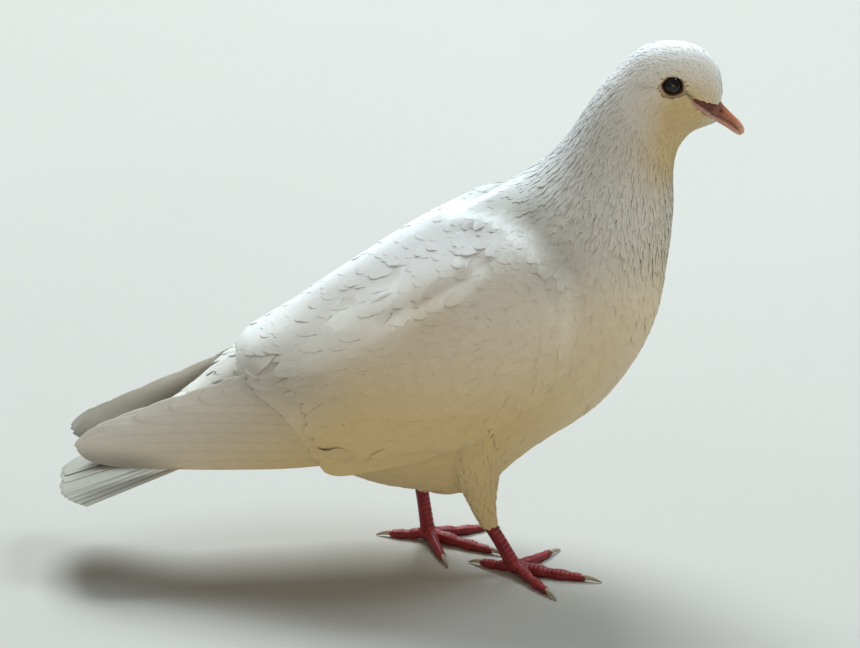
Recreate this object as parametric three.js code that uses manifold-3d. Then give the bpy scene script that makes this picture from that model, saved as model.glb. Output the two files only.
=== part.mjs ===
// A white domestic pigeon, life size, standing still with one foot ahead of the other.
// Millimetres, +Z up. The bird faces +X, its left side is +Y and its feet stand on Z = 0.
// The origin is on the floor below the middle of the bird's bounding box.
import * as THREE from "three";
import { mergeVertices } from "three/addons/utils/BufferGeometryUtils.js";
import Module from "manifold-3d";

const wasm = await Module();
wasm.setup();

// ---- driving dimensions --------------------------------------------------------------------------
const GAP = 0.3; // clear space between neighbouring solids
const BODY_SIDES = 28; // facets round the head, neck and trunk
const RINGS_PER_SECTION = 2; // rings from one body section to the next
const EYE_RADIUS = 5.0;
const EYE_CENTRE = [111.4, 6.9, 216.5]; // of the left eye
const BILL_TIP = [140.6, 191.2]; // x, z
const TAIL_TIP_X = -140.6;
const TAIL_ROOT_X = -58;
const FOOT_SPREAD = 16.6; // from the plane of symmetry to the middle of each foot
const HUB_HEIGHT = 5.2; // of the joint where the toes meet
const PAD_HEIGHT = 0.84; // of a toe's axis over the floor, as a share of the toe's radius

// Cross-sections from the face to the tail root. Each has its dorsal and ventral point in the plane
// of symmetry, as [x, z], its half-width, and egg, the share by which it is wider below than above.
const BODY_SECTIONS = [
  { at: "face", dorsal: [131.4, 206.0], ventral: [130.8, 197.8], halfWidth: 4.4, egg: 0 },
  { at: "bill root", dorsal: [131.2, 211.4], ventral: [128.8, 195.6], halfWidth: 7.2, egg: 0 },
  { at: "forehead", dorsal: [129.2, 220.6], ventral: [124.4, 193.8], halfWidth: 9.8, egg: 0.04 },
  { at: "lores", dorsal: [122.4, 228.4], ventral: [119.0, 191.6], halfWidth: 11.2, egg: 0.05 },
  { at: "crown", dorsal: [111.4, 231.2], ventral: [115.4, 187.8], halfWidth: 12.2, egg: 0.05 },
  { at: "hind crown", dorsal: [98.8, 229.0], ventral: [113.0, 183.0], halfWidth: 13.4, egg: 0.04 },
  { at: "nape", dorsal: [88.8, 219.6], ventral: [111.8, 177.4], halfWidth: 14.8, egg: 0.02 },
  { at: "upper neck", dorsal: [80.0, 208.8], ventral: [111.4, 169.8], halfWidth: 16.8, egg: 0 },
  { at: "mid neck", dorsal: [72.6, 196.4], ventral: [111.7, 159.4], halfWidth: 20.2, egg: 0 },
  { at: "lower neck", dorsal: [64.6, 184.6], ventral: [110.9, 147.2], halfWidth: 25.0, egg: 0.02 },
  { at: "shoulder", dorsal: [53.2, 173.6], ventral: [109.0, 132.0], halfWidth: 31.0, egg: 0.05 },
  { at: "breast", dorsal: [38.6, 164.8], ventral: [106.2, 114.2], halfWidth: 36.2, egg: 0.08 },
  { at: "keel front", dorsal: [23.6, 156.4], ventral: [98.4, 94.6], halfWidth: 39.0, egg: 0.1 },
  { at: "ribs", dorsal: [8.8, 147.0], ventral: [82.0, 72.0], halfWidth: 40.0, egg: 0.1 },
  { at: "keel", dorsal: [-7.2, 136.4], ventral: [61.4, 57.2], halfWidth: 39.2, egg: 0.08 },
  { at: "belly", dorsal: [-24.0, 124.6], ventral: [38.6, 40.8], halfWidth: 36.2, egg: 0.05 },
  { at: "vent", dorsal: [-40.2, 112.2], ventral: [10.8, 33.8], halfWidth: 31.6, egg: 0 },
  { at: "rump", dorsal: [-55.2, 98.6], ventral: [-17.4, 39.2], halfWidth: 26.0, egg: -0.05 },
  { at: "upper coverts", dorsal: [-69.0, 84.6], ventral: [-44.0, 46.2], halfWidth: 20.2, egg: -0.05 },
  { at: "lower coverts", dorsal: [-84.0, 68.6], ventral: [-71.0, 48.0], halfWidth: 16.2, egg: 0 },
  { at: "tail root", dorsal: [-100.6, 53.8], ventral: [-97.4, 45.8], halfWidth: 13.0, egg: 0 },
];
const HEAD_ENDS = 6; // index of the section at the nape, where head and neck part
const NECK_ENDS = 10; // index of the section at the shoulder, where neck and trunk part

// Ribs of a wing's folded shield of coverts and secondaries, from the wrist to the tips of the
// secondaries. Each runs from the upper edge, over the back, down to the lower edge. A point is
// [x, distance from the plane of symmetry, z].
const WING_RIBS = [
  { upper: [50, 28.0, 157.0], high: [56, 33.5, 152], low: [62, 37.5, 146], lower: [69, 38.8, 138] },
  { upper: [37, 18.0, 161.2], high: [46, 36.6, 149], low: [55, 43.4, 131], lower: [67, 42.6, 103] },
  { upper: [16, 7.0, 156.0], high: [27, 36.6, 136], low: [38, 45.8, 112], lower: [47, 44.4, 82] },
  { upper: [-12, 4.6, 138.6], high: [0, 35.2, 118], low: [10, 45.4, 95], lower: [16, 42.5, 67.5] },
  { upper: [-39, 4.4, 119.2], high: [-29, 31.0, 100], low: [-18, 40.6, 82], lower: [-10, 38.5, 60] },
  { upper: [-61, 5.6, 101.0], high: [-67, 21.0, 88], low: [-50, 34.0, 78], lower: [-30, 36.0, 57] },
];
const SHIELD_THICKNESS = 9; // before the trunk is cut away from it
const SHIELD_EDGE = 2.4; // thickness of its edges

// Ribs of a wing's folded primaries: the upper and lower edge of the blade, towards its tip.
const BLADE_RIBS = [
  { upper: [-50, 21.0, 90.0], lower: [-22, 35.0, 57.4] },
  { upper: [-66, 18.0, 84.6], lower: [-50, 31.6, 54.6] },
  { upper: [-84, 15.0, 78.0], lower: [-80, 25.4, 51.6] },
  { upper: [-104, 12.4, 71.2], lower: [-106, 19.6, 49.8] },
  { upper: [-122, 10.6, 65.0], lower: [-125, 14.6, 50.4] },
  { upper: [-130.6, 10.2, 60.6], lower: [-133.4, 11.8, 53.6] },
];
const BLADE_THICKNESS = 2.6;
const PRIMARIES_SHOWN = 6;
const FEATHER_STEP = 0.55; // how far one feather's edge stands over the next

// The closed tail: a shallow roof of feathers that widens towards its tip.
const TAIL_SLOPE = 0.372; // fall of the tail towards its tip, per millimetre
const TAIL_TIP_HEIGHT = 33.6; // of the middle feathers
const TAIL_THICKNESS = 2.8;
const TAIL_PAIRS = 6; // six feathers on each side
const TAIL_ROOT_HALF_WIDTH = 13;
const TAIL_TIP_HALF_WIDTH = 24;

const BILL_SLOPE = 36.4; // degrees below the horizontal
const CERE_HEIGHT = 1.5;
const CERE_AT = [130.4, 204.0]; // x, z of the middle of its two swellings

// A toe's heading is measured from +X towards +Y, in degrees; its length includes the claw.
const TOE_SIZES = {
  middle: { length: 37.0, claw: 6.6, root: 2.7, tip: 2.0, joints: 3 },
  outer: { length: 32.0, claw: 5.8, root: 2.5, tip: 1.8, joints: 3 },
  inner: { length: 29.5, claw: 5.8, root: 2.5, tip: 1.8, joints: 2 },
  hind: { length: 22.0, claw: 5.4, root: 2.5, tip: 1.9, joints: 1 },
};
const LEGS = {
  right: {
    side: -1,
    hubX: 46.8,
    hock: [31.6, -18.4, 30.4],
    cuff: [36.2, -18.0, 23.0],
    calf: [31.6, -18.8, 35.5],
    knee: [33, -21, 64],
    headings: { middle: -15, outer: -58, inner: 50, hind: 150 },
  },
  left: {
    side: 1,
    hubX: 11.2,
    hock: [6.8, 18.2, 33.4],
    cuff: [8.9, 17.6, 24.0],
    calf: [7.2, 18.8, 37.0],
    knee: [14, 21, 64],
    headings: { middle: -28, outer: 22, inner: -74, hind: 168 },
  },
};
const TARSUS_RADII = [3.1, 2.7, 2.7, 3.1]; // from the hub to the hock
const THIGH_RADII = [3.8, 6.6, 10.6, 15.0]; // from the cuff of feathers to the knee

// ---- materials -----------------------------------------------------------------------------------
function finish(hex, roughness) {
  return new THREE.MeshStandardMaterial({ color: hex, roughness, metalness: 0 });
}
const MATERIALS = {
  plumage: finish(0xe9e7df, 0.85),
  flight: finish(0xe4e2d6, 0.7),
  bill: finish(0xd38a6c, 0.45),
  leg: finish(0xa63238, 0.55),
  claw: finish(0xbfae8a, 0.4),
  eye: finish(0x1c1410, 0.08),
};

// ---- closed surfaces -----------------------------------------------------------------------------
function closedGeometry(points, index) {
  const positions = points.flatMap((p) => [p.x, p.y, p.z]);
  return new THREE.BufferGeometry()
    .setAttribute("position", new THREE.Float32BufferAttribute(positions, 3))
    .setIndex(index);
}

// Skins a row of rings, each with the same number of points, and closes both ends.
function loft(rings) {
  const count = rings[0].length;
  const index = [];
  for (let r = 0; r + 1 < rings.length; r++) {
    for (let k = 0; k < count; k++) {
      const a = r * count + k;
      const b = r * count + ((k + 1) % count);
      index.push(a, b, a + count, b, b + count, a + count);
    }
  }
  const last = (rings.length - 1) * count;
  for (let k = 1; k + 1 < count; k++) {
    index.push(0, k + 1, k, last, last + k, last + k + 1);
  }
  return closedGeometry(rings.flat(), index);
}

// Closes the space between an outer and an inner sheet, two grids of points of the same size.
function slab(outer, inner) {
  const rows = outer.length;
  const columns = outer[0].length;
  const at = (sheet, i, j) => sheet * rows * columns + i * columns + j;
  const index = [];
  const quad = (a, b, c, d) => index.push(a, b, c, a, c, d);
  for (let i = 0; i + 1 < rows; i++) {
    for (let j = 0; j + 1 < columns; j++) {
      quad(at(0, i, j), at(0, i + 1, j), at(0, i + 1, j + 1), at(0, i, j + 1));
      quad(at(1, i, j), at(1, i, j + 1), at(1, i + 1, j + 1), at(1, i + 1, j));
    }
    quad(at(0, i, 0), at(1, i, 0), at(1, i + 1, 0), at(0, i + 1, 0));
    const edge = columns - 1;
    quad(at(0, i, edge), at(0, i + 1, edge), at(1, i + 1, edge), at(1, i, edge));
  }
  for (let j = 0; j + 1 < columns; j++) {
    quad(at(0, 0, j), at(0, 0, j + 1), at(1, 0, j + 1), at(1, 0, j));
    const end = rows - 1;
    quad(at(0, end, j), at(1, end, j), at(1, end, j + 1), at(0, end, j + 1));
  }
  return closedGeometry([...outer.flat(), ...inner.flat()], index);
}

function mirrored(geometry) {
  const turned = geometry.clone().scale(1, -1, 1);
  const index = [...turned.index.array];
  for (let i = 0; i < index.length; i += 3) {
    [index[i + 1], index[i + 2]] = [index[i + 2], index[i + 1]];
  }
  return turned.setIndex(index);
}

// Paired parts are made for the right side.
function onSide(geometry, side) {
  return side < 0 ? geometry : mirrored(geometry);
}

// A tube of round rings along a smooth curve, with a radius at each of its evenly spaced places.
function tube(curve, radiusAt, rings, sides, grow = 0) {
  const made = [];
  const right = new THREE.Vector3(0, 0, 1).cross(curve.getTangent(0));
  if (right.length() < 0.2) right.set(0, 1, 0);
  for (let i = 0; i <= rings; i++) {
    const along = i / rings;
    const centre = curve.getPoint(along);
    const forward = curve.getTangent(along);
    right.addScaledVector(forward, -right.dot(forward)).normalize();
    const up = forward.clone().cross(right);
    made.push(ringRound(centre, up, right, radiusAt(along) + grow, sides));
  }
  return loft(made);
}

function ringRound(centre, up, right, radius, sides) {
  return Array.from({ length: sides }, (_, k) => {
    const turn = (2 * Math.PI * k) / sides;
    return centre
      .clone()
      .addScaledVector(up, radius * Math.cos(turn))
      .addScaledVector(right, -radius * Math.sin(turn));
  });
}

// ---- joining and cutting -------------------------------------------------------------------------
function solidOf(geometry) {
  const bare = geometry.clone();
  bare.deleteAttribute("normal");
  bare.deleteAttribute("uv");
  const merged = mergeVertices(bare, 1e-4);
  return new wasm.Manifold(
    new wasm.Mesh({
      numProp: 3,
      vertProperties: new Float32Array(merged.attributes.position.array),
      triVerts: new Uint32Array(merged.index.array),
    }),
  );
}

function geometryOf(solid) {
  const mesh = solid.getMesh();
  return new THREE.BufferGeometry()
    .setAttribute("position", new THREE.BufferAttribute(mesh.vertProperties, 3))
    .setIndex(new THREE.BufferAttribute(mesh.triVerts, 1));
}

// The largest body of a cut solid, so that no sliver stays beside it.
function largest(solid) {
  return solid.decompose().reduce((a, b) => (a.volume() > b.volume() ? a : b));
}

function cut(geometry, ...tools) {
  let solid = solidOf(geometry);
  for (const tool of tools) solid = solid.subtract(solidOf(tool));
  return geometryOf(largest(solid));
}

const FLOOR_CUTTER = new THREE.BoxGeometry(400, 200, 20).translate(0, 0, -10);

// ---- head, neck and trunk ------------------------------------------------------------------------
const curveOf = (points) => new THREE.CatmullRomCurve3(points.map((p) => new THREE.Vector3(...p)));
const DORSAL_LINE = curveOf(BODY_SECTIONS.map((s) => [s.dorsal[0], 0, s.dorsal[1]]));
const VENTRAL_LINE = curveOf(BODY_SECTIONS.map((s) => [s.ventral[0], 0, s.ventral[1]]));
const GIRTH_LINE = curveOf(BODY_SECTIONS.map((s) => [s.halfWidth, s.egg, 0]));

// One ring of the body, at a place counted in sections, moved along the body by shift.
function bodyRing(place, grow, shift) {
  const t = place / (BODY_SECTIONS.length - 1);
  const dorsal = DORSAL_LINE.getPoint(t);
  const ventral = VENTRAL_LINE.getPoint(t);
  const girth = GIRTH_LINE.getPoint(t);
  const centre = dorsal.clone().add(ventral).multiplyScalar(0.5);
  const rise = dorsal.clone().sub(centre);
  rise.setLength(rise.length() + grow);
  const backward = new THREE.Vector3(-rise.z, 0, rise.x).normalize();
  centre.addScaledVector(backward, shift);
  return Array.from({ length: BODY_SIDES }, (_, k) => {
    const turn = (2 * Math.PI * k) / BODY_SIDES;
    const width = (girth.x + grow) * (1 - girth.y * Math.cos(turn));
    return centre
      .clone()
      .addScaledVector(rise, Math.cos(turn))
      .add(new THREE.Vector3(0, width * Math.sin(turn), 0));
  });
}

// The body from one section to another, ending half a gap inside each cut that it has.
function bodyLength(from, to, grow = 0) {
  const rings = [];
  const lastSection = BODY_SECTIONS.length - 1;
  for (let i = from * RINGS_PER_SECTION; i <= to * RINGS_PER_SECTION; i++) {
    const place = i / RINGS_PER_SECTION;
    let shift = 0;
    if (place === from && from > 0) shift = GAP / 2;
    if (place === to && to < lastSection) shift = -GAP / 2;
    rings.push(bodyRing(place, grow, grow ? 0 : shift));
  }
  return loft(rings);
}

const LAST_SECTION = BODY_SECTIONS.length - 1;
const TRUNK = bodyLength(NECK_ENDS, LAST_SECTION);
const TRUNK_CUTTER = bodyLength(NECK_ENDS - 2, LAST_SECTION, GAP);
const HEAD_CUTTER = bodyLength(0, HEAD_ENDS + 1, GAP);

// ---- eyes and bill -------------------------------------------------------------------------------
function eyeball(side, grow = 0) {
  const [x, y, z] = EYE_CENTRE;
  return new THREE.SphereGeometry(EYE_RADIUS + grow, 14, 8)
    .rotateX(Math.PI / 2)
    .translate(x, side * y, z);
}

// A mandible or the cere: rings along the bill's own axis, which ends at the bill's tip. Each section
// is [distance from the tip, lowest and highest level over the axis, half-width].
function billPiece(sections, sides = 10) {
  const slope = (BILL_SLOPE * Math.PI) / 180;
  const outward = new THREE.Vector3(Math.cos(slope), 0, -Math.sin(slope));
  const up = new THREE.Vector3(Math.sin(slope), 0, Math.cos(slope));
  const tip = new THREE.Vector3(BILL_TIP[0], 0, BILL_TIP[1]);
  const rings = sections.map(([back, low, high, halfWidth]) => {
    const centre = tip.clone().addScaledVector(outward, -back);
    centre.addScaledVector(up, (low + high) / 2);
    return Array.from({ length: sides }, (_, k) => {
      const turn = (2 * Math.PI * k) / sides;
      return centre
        .clone()
        .addScaledVector(up, ((high - low) / 2) * Math.cos(turn))
        .add(new THREE.Vector3(0, halfWidth * Math.sin(turn), 0));
    });
  });
  return loft(rings);
}

const UPPER_BILL = billPiece([
  [0, -1.2, -0.4, 0.45],
  [1.2, -0.6, 0.9, 1.15],
  [4, 0.15, 2.3, 1.75],
  [8, 0.25, 3.2, 2.1],
  [12, 0.25, 4.0, 2.7],
  [17, 0.25, 5.4, 3.6],
  [24, 0.25, 7.0, 4.6],
]);
const LOWER_BILL = billPiece([
  [1.6, -1.9, -1.2, 0.5],
  [3, -2.2, -0.55, 1.1],
  [6, -2.4, -0.15, 1.6],
  [9, -2.7, -0.1, 2.1],
  [14, -3.4, -0.1, 2.9],
  [24, -4.6, -0.1, 4.4],
]);
// The two swellings of bare skin over the nostrils, on the root of the upper bill.
function cere(side) {
  const slope = (BILL_SLOPE * Math.PI) / 180;
  return new THREE.SphereGeometry(1, 8, 5)
    .scale(3.4, 1.7, CERE_HEIGHT)
    .rotateY(slope + 0.16)
    .translate(CERE_AT[0], side * 1.5, CERE_AT[1]);
}

// ---- wings and tail ------------------------------------------------------------------------------
// A smooth sheet through ribs: along the ribs by place, 0 to 1, and across them from edge to edge.
function sheetThrough(ribs, names) {
  const onRight = ([x, out, z]) => [x, -out, z];
  const lines = names.map((name) => curveOf(ribs.map((rib) => onRight(rib[name]))));
  return (along, across) => {
    const rib = new THREE.CatmullRomCurve3(lines.map((line) => line.getPoint(along)));
    return rib.getPoint(across);
  };
}

// The sheet's outward direction.
function outwardOf(sheet, along, across) {
  const h = 1e-3;
  const a = Math.min(along, 1 - h);
  const c = Math.min(across, 1 - h);
  const here = sheet(a, c);
  const forward = sheet(a + h, c).sub(here);
  const down = sheet(a, c + h).sub(here);
  return forward.cross(down).normalize();
}

// Two sheets, lifted and sunk from a smooth one, joined to a slab.
function slabOf(sheet, rows, columns, liftAt, depthAt) {
  const outer = [];
  const inner = [];
  for (let i = 0; i <= rows; i++) {
    outer.push([]);
    inner.push([]);
    for (const across of columns) {
      const along = i / rows;
      const point = sheet(along, across);
      const outward = outwardOf(sheet, along, across);
      outer[i].push(point.clone().addScaledVector(outward, liftAt(along, across)));
      inner[i].push(point.clone().addScaledVector(outward, -depthAt(along, across)));
    }
  }
  return slab(outer, inner);
}

const evenly = (count) => Array.from({ length: count + 1 }, (_, k) => k / count);

const SHIELD_SHEET = sheetThrough(WING_RIBS, ["upper", "high", "low", "lower"]);
function shield(grow = 0) {
  const depth = (along, across) => {
    const belly = Math.sin(Math.PI * across) * Math.cos((Math.PI / 2) * Math.max(0, along * 1.25 - 0.25));
    return SHIELD_EDGE + (SHIELD_THICKNESS - SHIELD_EDGE) * belly + grow;
  };
  return slabOf(SHIELD_SHEET, 12, evenly(9), () => grow, depth);
}

// Each feather gives two columns, so that its edge stands as a step over the next feather.
function featherColumns(count) {
  const columns = [];
  for (let k = 0; k < count; k++) columns.push((k + 0.02) / count, (k + 0.98) / count);
  return columns;
}
// Full height at a feather's lower edge, none at its upper edge.
const stepAt = (across, count) => FEATHER_STEP * ((across * count) % 1);

const BLADE_SHEET = sheetThrough(BLADE_RIBS, ["upper", "lower"]);
function primaries() {
  const lift = (along, across) => stepAt(across, PRIMARIES_SHOWN);
  const depth = (along) => BLADE_THICKNESS * (1 - 0.55 * along);
  return slabOf(BLADE_SHEET, 7, featherColumns(PRIMARIES_SHOWN), lift, depth);
}

function tailFan() {
  const columns = [];
  for (let k = 0; k < TAIL_PAIRS; k++) columns.push((k + 0.02) / TAIL_PAIRS, (k + 0.98) / TAIL_PAIRS);
  const shares = [...columns.map((c) => -c).reverse(), ...columns];
  const rows = 3;
  const top = [];
  const under = [];
  for (let i = 0; i <= rows; i++) {
    const along = i / rows;
    const halfWidth = THREE.MathUtils.lerp(TAIL_ROOT_HALF_WIDTH, TAIL_TIP_HALF_WIDTH, along ** 0.8);
    top.push([]);
    under.push([]);
    for (const share of shares) {
      const fromMiddle = Math.abs(share);
      const tipX = TAIL_TIP_X + 9 * fromMiddle ** 2.2;
      const x = THREE.MathUtils.lerp(TAIL_ROOT_X, tipX, along);
      const roof = 5.2 * fromMiddle ** 1.6 * (0.6 + 0.4 * along);
      const z = TAIL_TIP_HEIGHT + (x - TAIL_TIP_X) * TAIL_SLOPE - roof;
      const step = FEATHER_STEP * (1 - ((fromMiddle * TAIL_PAIRS) % 1));
      const y = -share * halfWidth;
      top[i].push(new THREE.Vector3(x, y, z + TAIL_THICKNESS / 2 - FEATHER_STEP + step));
      under[i].push(new THREE.Vector3(x, y, z - TAIL_THICKNESS / 2));
    }
  }
  return slab(top, under);
}

// ---- legs ----------------------------------------------------------------------------------------
// Toes and leg meet at the hub. The curves run from the hub outwards or upwards.
function hubOf(leg) {
  return new THREE.Vector3(leg.hubX, leg.side * FOOT_SPREAD, HUB_HEIGHT);
}

function tarsusTube(leg, grow = 0) {
  const hub = hubOf(leg);
  const hock = new THREE.Vector3(...leg.hock);
  const middle = hub.clone().lerp(hock, 0.5);
  const curve = new THREE.CatmullRomCurve3([hub.clone().setZ(HUB_HEIGHT - 2.4), middle, hock]);
  const radius = (along) => {
    const place = along * (TARSUS_RADII.length - 1);
    const i = Math.min(Math.floor(place), TARSUS_RADII.length - 2);
    return THREE.MathUtils.lerp(TARSUS_RADII[i], TARSUS_RADII[i + 1], place - i);
  };
  return tube(curve, radius, 5, 10, grow);
}

function thighTube(leg, grow = 0) {
  const curve = curveOf([leg.cuff, leg.calf, leg.knee]);
  const radius = (along) => {
    const place = along * (THIGH_RADII.length - 1);
    const i = Math.min(Math.floor(place), THIGH_RADII.length - 2);
    return THREE.MathUtils.lerp(THIGH_RADII[i], THIGH_RADII[i + 1], place - i);
  };
  return tube(curve, radius, 6, 14, grow);
}

// The line of one toe: down from the hub, then along the floor.
function toePoint(leg, name, distance, height) {
  const heading = (leg.headings[name] * Math.PI) / 180;
  const hub = hubOf(leg);
  return new THREE.Vector3(
    hub.x + Math.cos(heading) * distance,
    hub.y + Math.sin(heading) * distance,
    height,
  );
}

function toeTube(leg, name) {
  const { length, claw, root, tip, joints } = TOE_SIZES[name];
  const bare = length - claw;
  const girth = (along) => THREE.MathUtils.lerp(root, tip, along);
  const curve = new THREE.CatmullRomCurve3([
    toePoint(leg, name, 0, HUB_HEIGHT - 1.4),
    toePoint(leg, name, bare * 0.3, girth(0.3) + 0.3),
    toePoint(leg, name, bare * 0.62, girth(0.62) * PAD_HEIGHT),
    toePoint(leg, name, bare, girth(1) * PAD_HEIGHT),
  ]);
  const radius = (along) => {
    const joint = 1 + 0.08 * Math.cos(2 * Math.PI * joints * along);
    return girth(along) * joint * (along > 0.97 ? 0.8 : 1);
  };
  return tube(curve, radius, 4 + 2 * joints, 7);
}

function clawTube(leg, name) {
  const { length, claw, tip } = TOE_SIZES[name];
  const start = length - claw + GAP;
  const curve = new THREE.CatmullRomCurve3([
    toePoint(leg, name, start, tip * PAD_HEIGHT + 0.4),
    toePoint(leg, name, start + claw * 0.45, tip * PAD_HEIGHT + 0.3),
    toePoint(leg, name, length, 0.55),
  ]);
  return tube(curve, (along) => THREE.MathUtils.lerp(tip * 0.62, 0.28, along), 4, 6);
}

// ---- the bird ------------------------------------------------------------------------------------
const pigeon = new THREE.Group();
function add(name, geometry, material) {
  const mesh = new THREE.Mesh(geometry, MATERIALS[material]);
  mesh.name = name;
  pigeon.add(mesh);
}

const SIDES = { left: 1, right: -1 };

const sockets = Object.values(SIDES).map((side) => eyeball(side, GAP));
add("head", cut(bodyLength(0, HEAD_ENDS), ...sockets), "plumage");
add("neck", bodyLength(HEAD_ENDS, NECK_ENDS), "plumage");
add("trunk", TRUNK, "plumage");

const upperBill = solidOf(UPPER_BILL).add(solidOf(cere(1))).add(solidOf(cere(-1)));
add("bill_upper", cut(geometryOf(upperBill), HEAD_CUTTER), "bill");
add("bill_lower", cut(LOWER_BILL, HEAD_CUTTER), "bill");

const shieldOnRight = cut(shield(), TRUNK_CUTTER);
const primariesOnRight = cut(primaries(), TRUNK_CUTTER, shield(GAP));
for (const [name, side] of Object.entries(SIDES)) {
  add("eye_" + name, eyeball(side), "eye");
  add("wing_" + name, onSide(shieldOnRight, side), "plumage");
  add("primaries_" + name, onSide(primariesOnRight, side), "flight");
}
add("tail", cut(tailFan(), TRUNK_CUTTER), "flight");

for (const [name, leg] of Object.entries(LEGS)) {
  add("thigh_" + name, cut(thighTube(leg), TRUNK_CUTTER), "plumage");
  add("tarsus_" + name, cut(tarsusTube(leg), thighTube(leg, GAP), TRUNK_CUTTER), "leg");
  const placed = [tarsusTube(leg, GAP)];
  for (const toe of Object.keys(TOE_SIZES)) {
    const whole = toeTube(leg, toe);
    add(`toe_${toe}_${name}`, cut(whole, FLOOR_CUTTER, ...placed), "leg");
    placed.push(whole);
    add(`claw_${toe}_${name}`, clawTube(leg, toe), "claw");
  }
}

export default pigeon;
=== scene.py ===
"""The looks of a white domestic pigeon, a still life-size model that stands on the floor.

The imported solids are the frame: rays on them give the outer shape of the plumage. One skin lies
inside that shape by the depth of the coat, and every feather is a curved vane laid over it.
Sizes are in millimetres where they are named, and in metres once they are multiplied by MM.
The bird faces +X, its left side is +Y and +Z is up.
"""

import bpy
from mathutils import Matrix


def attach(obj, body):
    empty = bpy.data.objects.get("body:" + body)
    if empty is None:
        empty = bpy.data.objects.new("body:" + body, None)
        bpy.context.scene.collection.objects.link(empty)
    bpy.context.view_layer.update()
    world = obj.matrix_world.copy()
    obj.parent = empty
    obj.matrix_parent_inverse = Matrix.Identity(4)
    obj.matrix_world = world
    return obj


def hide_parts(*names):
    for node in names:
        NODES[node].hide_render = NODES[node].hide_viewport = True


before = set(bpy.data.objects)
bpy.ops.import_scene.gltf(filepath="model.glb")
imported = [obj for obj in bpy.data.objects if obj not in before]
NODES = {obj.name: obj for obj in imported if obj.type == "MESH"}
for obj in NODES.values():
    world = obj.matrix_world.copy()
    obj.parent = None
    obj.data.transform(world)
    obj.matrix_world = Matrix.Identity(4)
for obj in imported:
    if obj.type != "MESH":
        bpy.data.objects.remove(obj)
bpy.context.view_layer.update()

import itertools
import math

import bpy
import numpy as np
from mathutils import Vector
from mathutils.bvhtree import BVHTree
from mathutils.kdtree import KDTree

MM = 0.001
BODY = "root"
SIDES = {"left": 1, "right": -1}

# ---- view --------------------------------------------------------------------------------------
IMAGE_WIDTH, IMAGE_HEIGHT = 860, 648  # pixels
PIXEL = 0.41 * MM  # size of a pixel at the bird
ORIGIN_PIXEL = (401, 558)  # where the part's origin is in the image
CAMERA_ELEVATION = 24.0  # degrees above the horizontal
CAMERA_DISTANCE = 8.0  # far away, so that lines hardly converge
SENSOR = 36 * MM

# ---- body --------------------------------------------------------------------------------------
# Guide sections from the face to the tail root: the dorsal and ventral point in the plane of
# symmetry as (x, z), and half the width. Rays from between these points find the true surface.
SECTIONS = {
    "face": ((131.4, 206.0), (130.8, 197.8), 4.4),
    "bill root": ((131.2, 211.4), (128.8, 195.6), 7.2),
    "forehead": ((129.2, 220.6), (124.4, 193.8), 9.8),
    "lores": ((122.4, 228.4), (119.0, 191.6), 11.2),
    "crown": ((111.4, 231.2), (115.4, 187.8), 12.2),
    "hind crown": ((98.8, 229.0), (113.0, 183.0), 13.4),
    "nape": ((88.8, 219.6), (111.8, 177.4), 14.8),
    "upper neck": ((80.0, 208.8), (111.4, 169.8), 16.8),
    "mid neck": ((72.6, 196.4), (111.7, 159.4), 20.2),
    "lower neck": ((64.6, 184.6), (110.9, 147.2), 25.0),
    "shoulder": ((53.2, 173.6), (109.0, 132.0), 31.0),
    "breast": ((38.6, 164.8), (106.2, 114.2), 36.2),
    "keel front": ((23.6, 156.4), (98.4, 94.6), 39.0),
    "ribs": ((8.8, 147.0), (82.0, 72.0), 40.0),
    "keel": ((-7.2, 136.4), (61.4, 57.2), 39.2),
    "belly": ((-24.0, 124.6), (38.6, 40.8), 36.2),
    "vent": ((-40.2, 112.2), (10.8, 33.8), 31.6),
    "rump": ((-55.2, 98.6), (-17.4, 39.2), 26.0),
    "upper coverts": ((-69.0, 84.6), (-44.0, 46.2), 20.2),
    "lower coverts": ((-84.0, 68.6), (-71.0, 48.0), 16.2),
    "tail root": ((-100.6, 53.8), (-97.4, 45.8), 13.0),
}
PLACE = {name: index for index, name in enumerate(SECTIONS)}
BODY_ROWS, BODY_COLUMNS = 300, 260  # grid of rays along and round the body
EYE_CENTRE = (111.4, 6.9, 216.5)  # of the left eye
EYE_RADIUS = 5.0
EYE_SHIFT = (-0.9, 0.0, -1.0)  # from the frame's eye to the visible one
LID_REACH = 5.2  # radius of the bare skin round an eye
GAPE = (118.6, 210.15)  # x, z of the corners of the mouth
GAPE_SLOPES = (-0.47, -0.98)  # the bare wedge widens forwards between these slopes
GAPE_BLUNTNESS = 2.4  # how high the wedge is right at its corner
GAPE_LENGTH = 13.2  # from the corner to where the wedge ends on the bill
FACE_TAPER = (114.5, 128.0, 0.24)  # from where to where the face narrows, and by what share
FACE_FRONT = ((205.4, 129.7), (206.8, 131.2), (208.0, 133.0))  # height and x of the foremost feathers
# The same for the skin, which stays clear of the bill's root.
SKIN_FRONT = ((193.0, 128.9), (196.0, 127.2), (205.4, 127.2), (207.6, 130.4))
RAY_START = 22 * MM  # how far outside the guide sections the rays start
BACK_COLUMNS = 30  # the wings' upper edges lie within so many columns of the middle of the back
STERN_START, STERN_END = (-28, -42), (-96, -84)  # x where the smoothing of the rump fades in and out
FLUFF = (1.4, 3.4)  # how far the down of the belly hangs, and how much further between the legs
EYE_HOLE = 7.6 * MM  # radius round an eye within which the outer shape is filled in
BACK_END = -57 * MM  # x behind which the feathers over the tail take the place of the body's

# ---- bill --------------------------------------------------------------------------------------
BILL_TIP = (140.4, 191.2)  # x, z
BILL_SLOPE = 36.4  # degrees below the horizontal
BILL_REACH = 24  # from the tip to the last section, inside the face
PALE_LIP = 0.75  # how pale the lower half of the bill is
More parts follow.
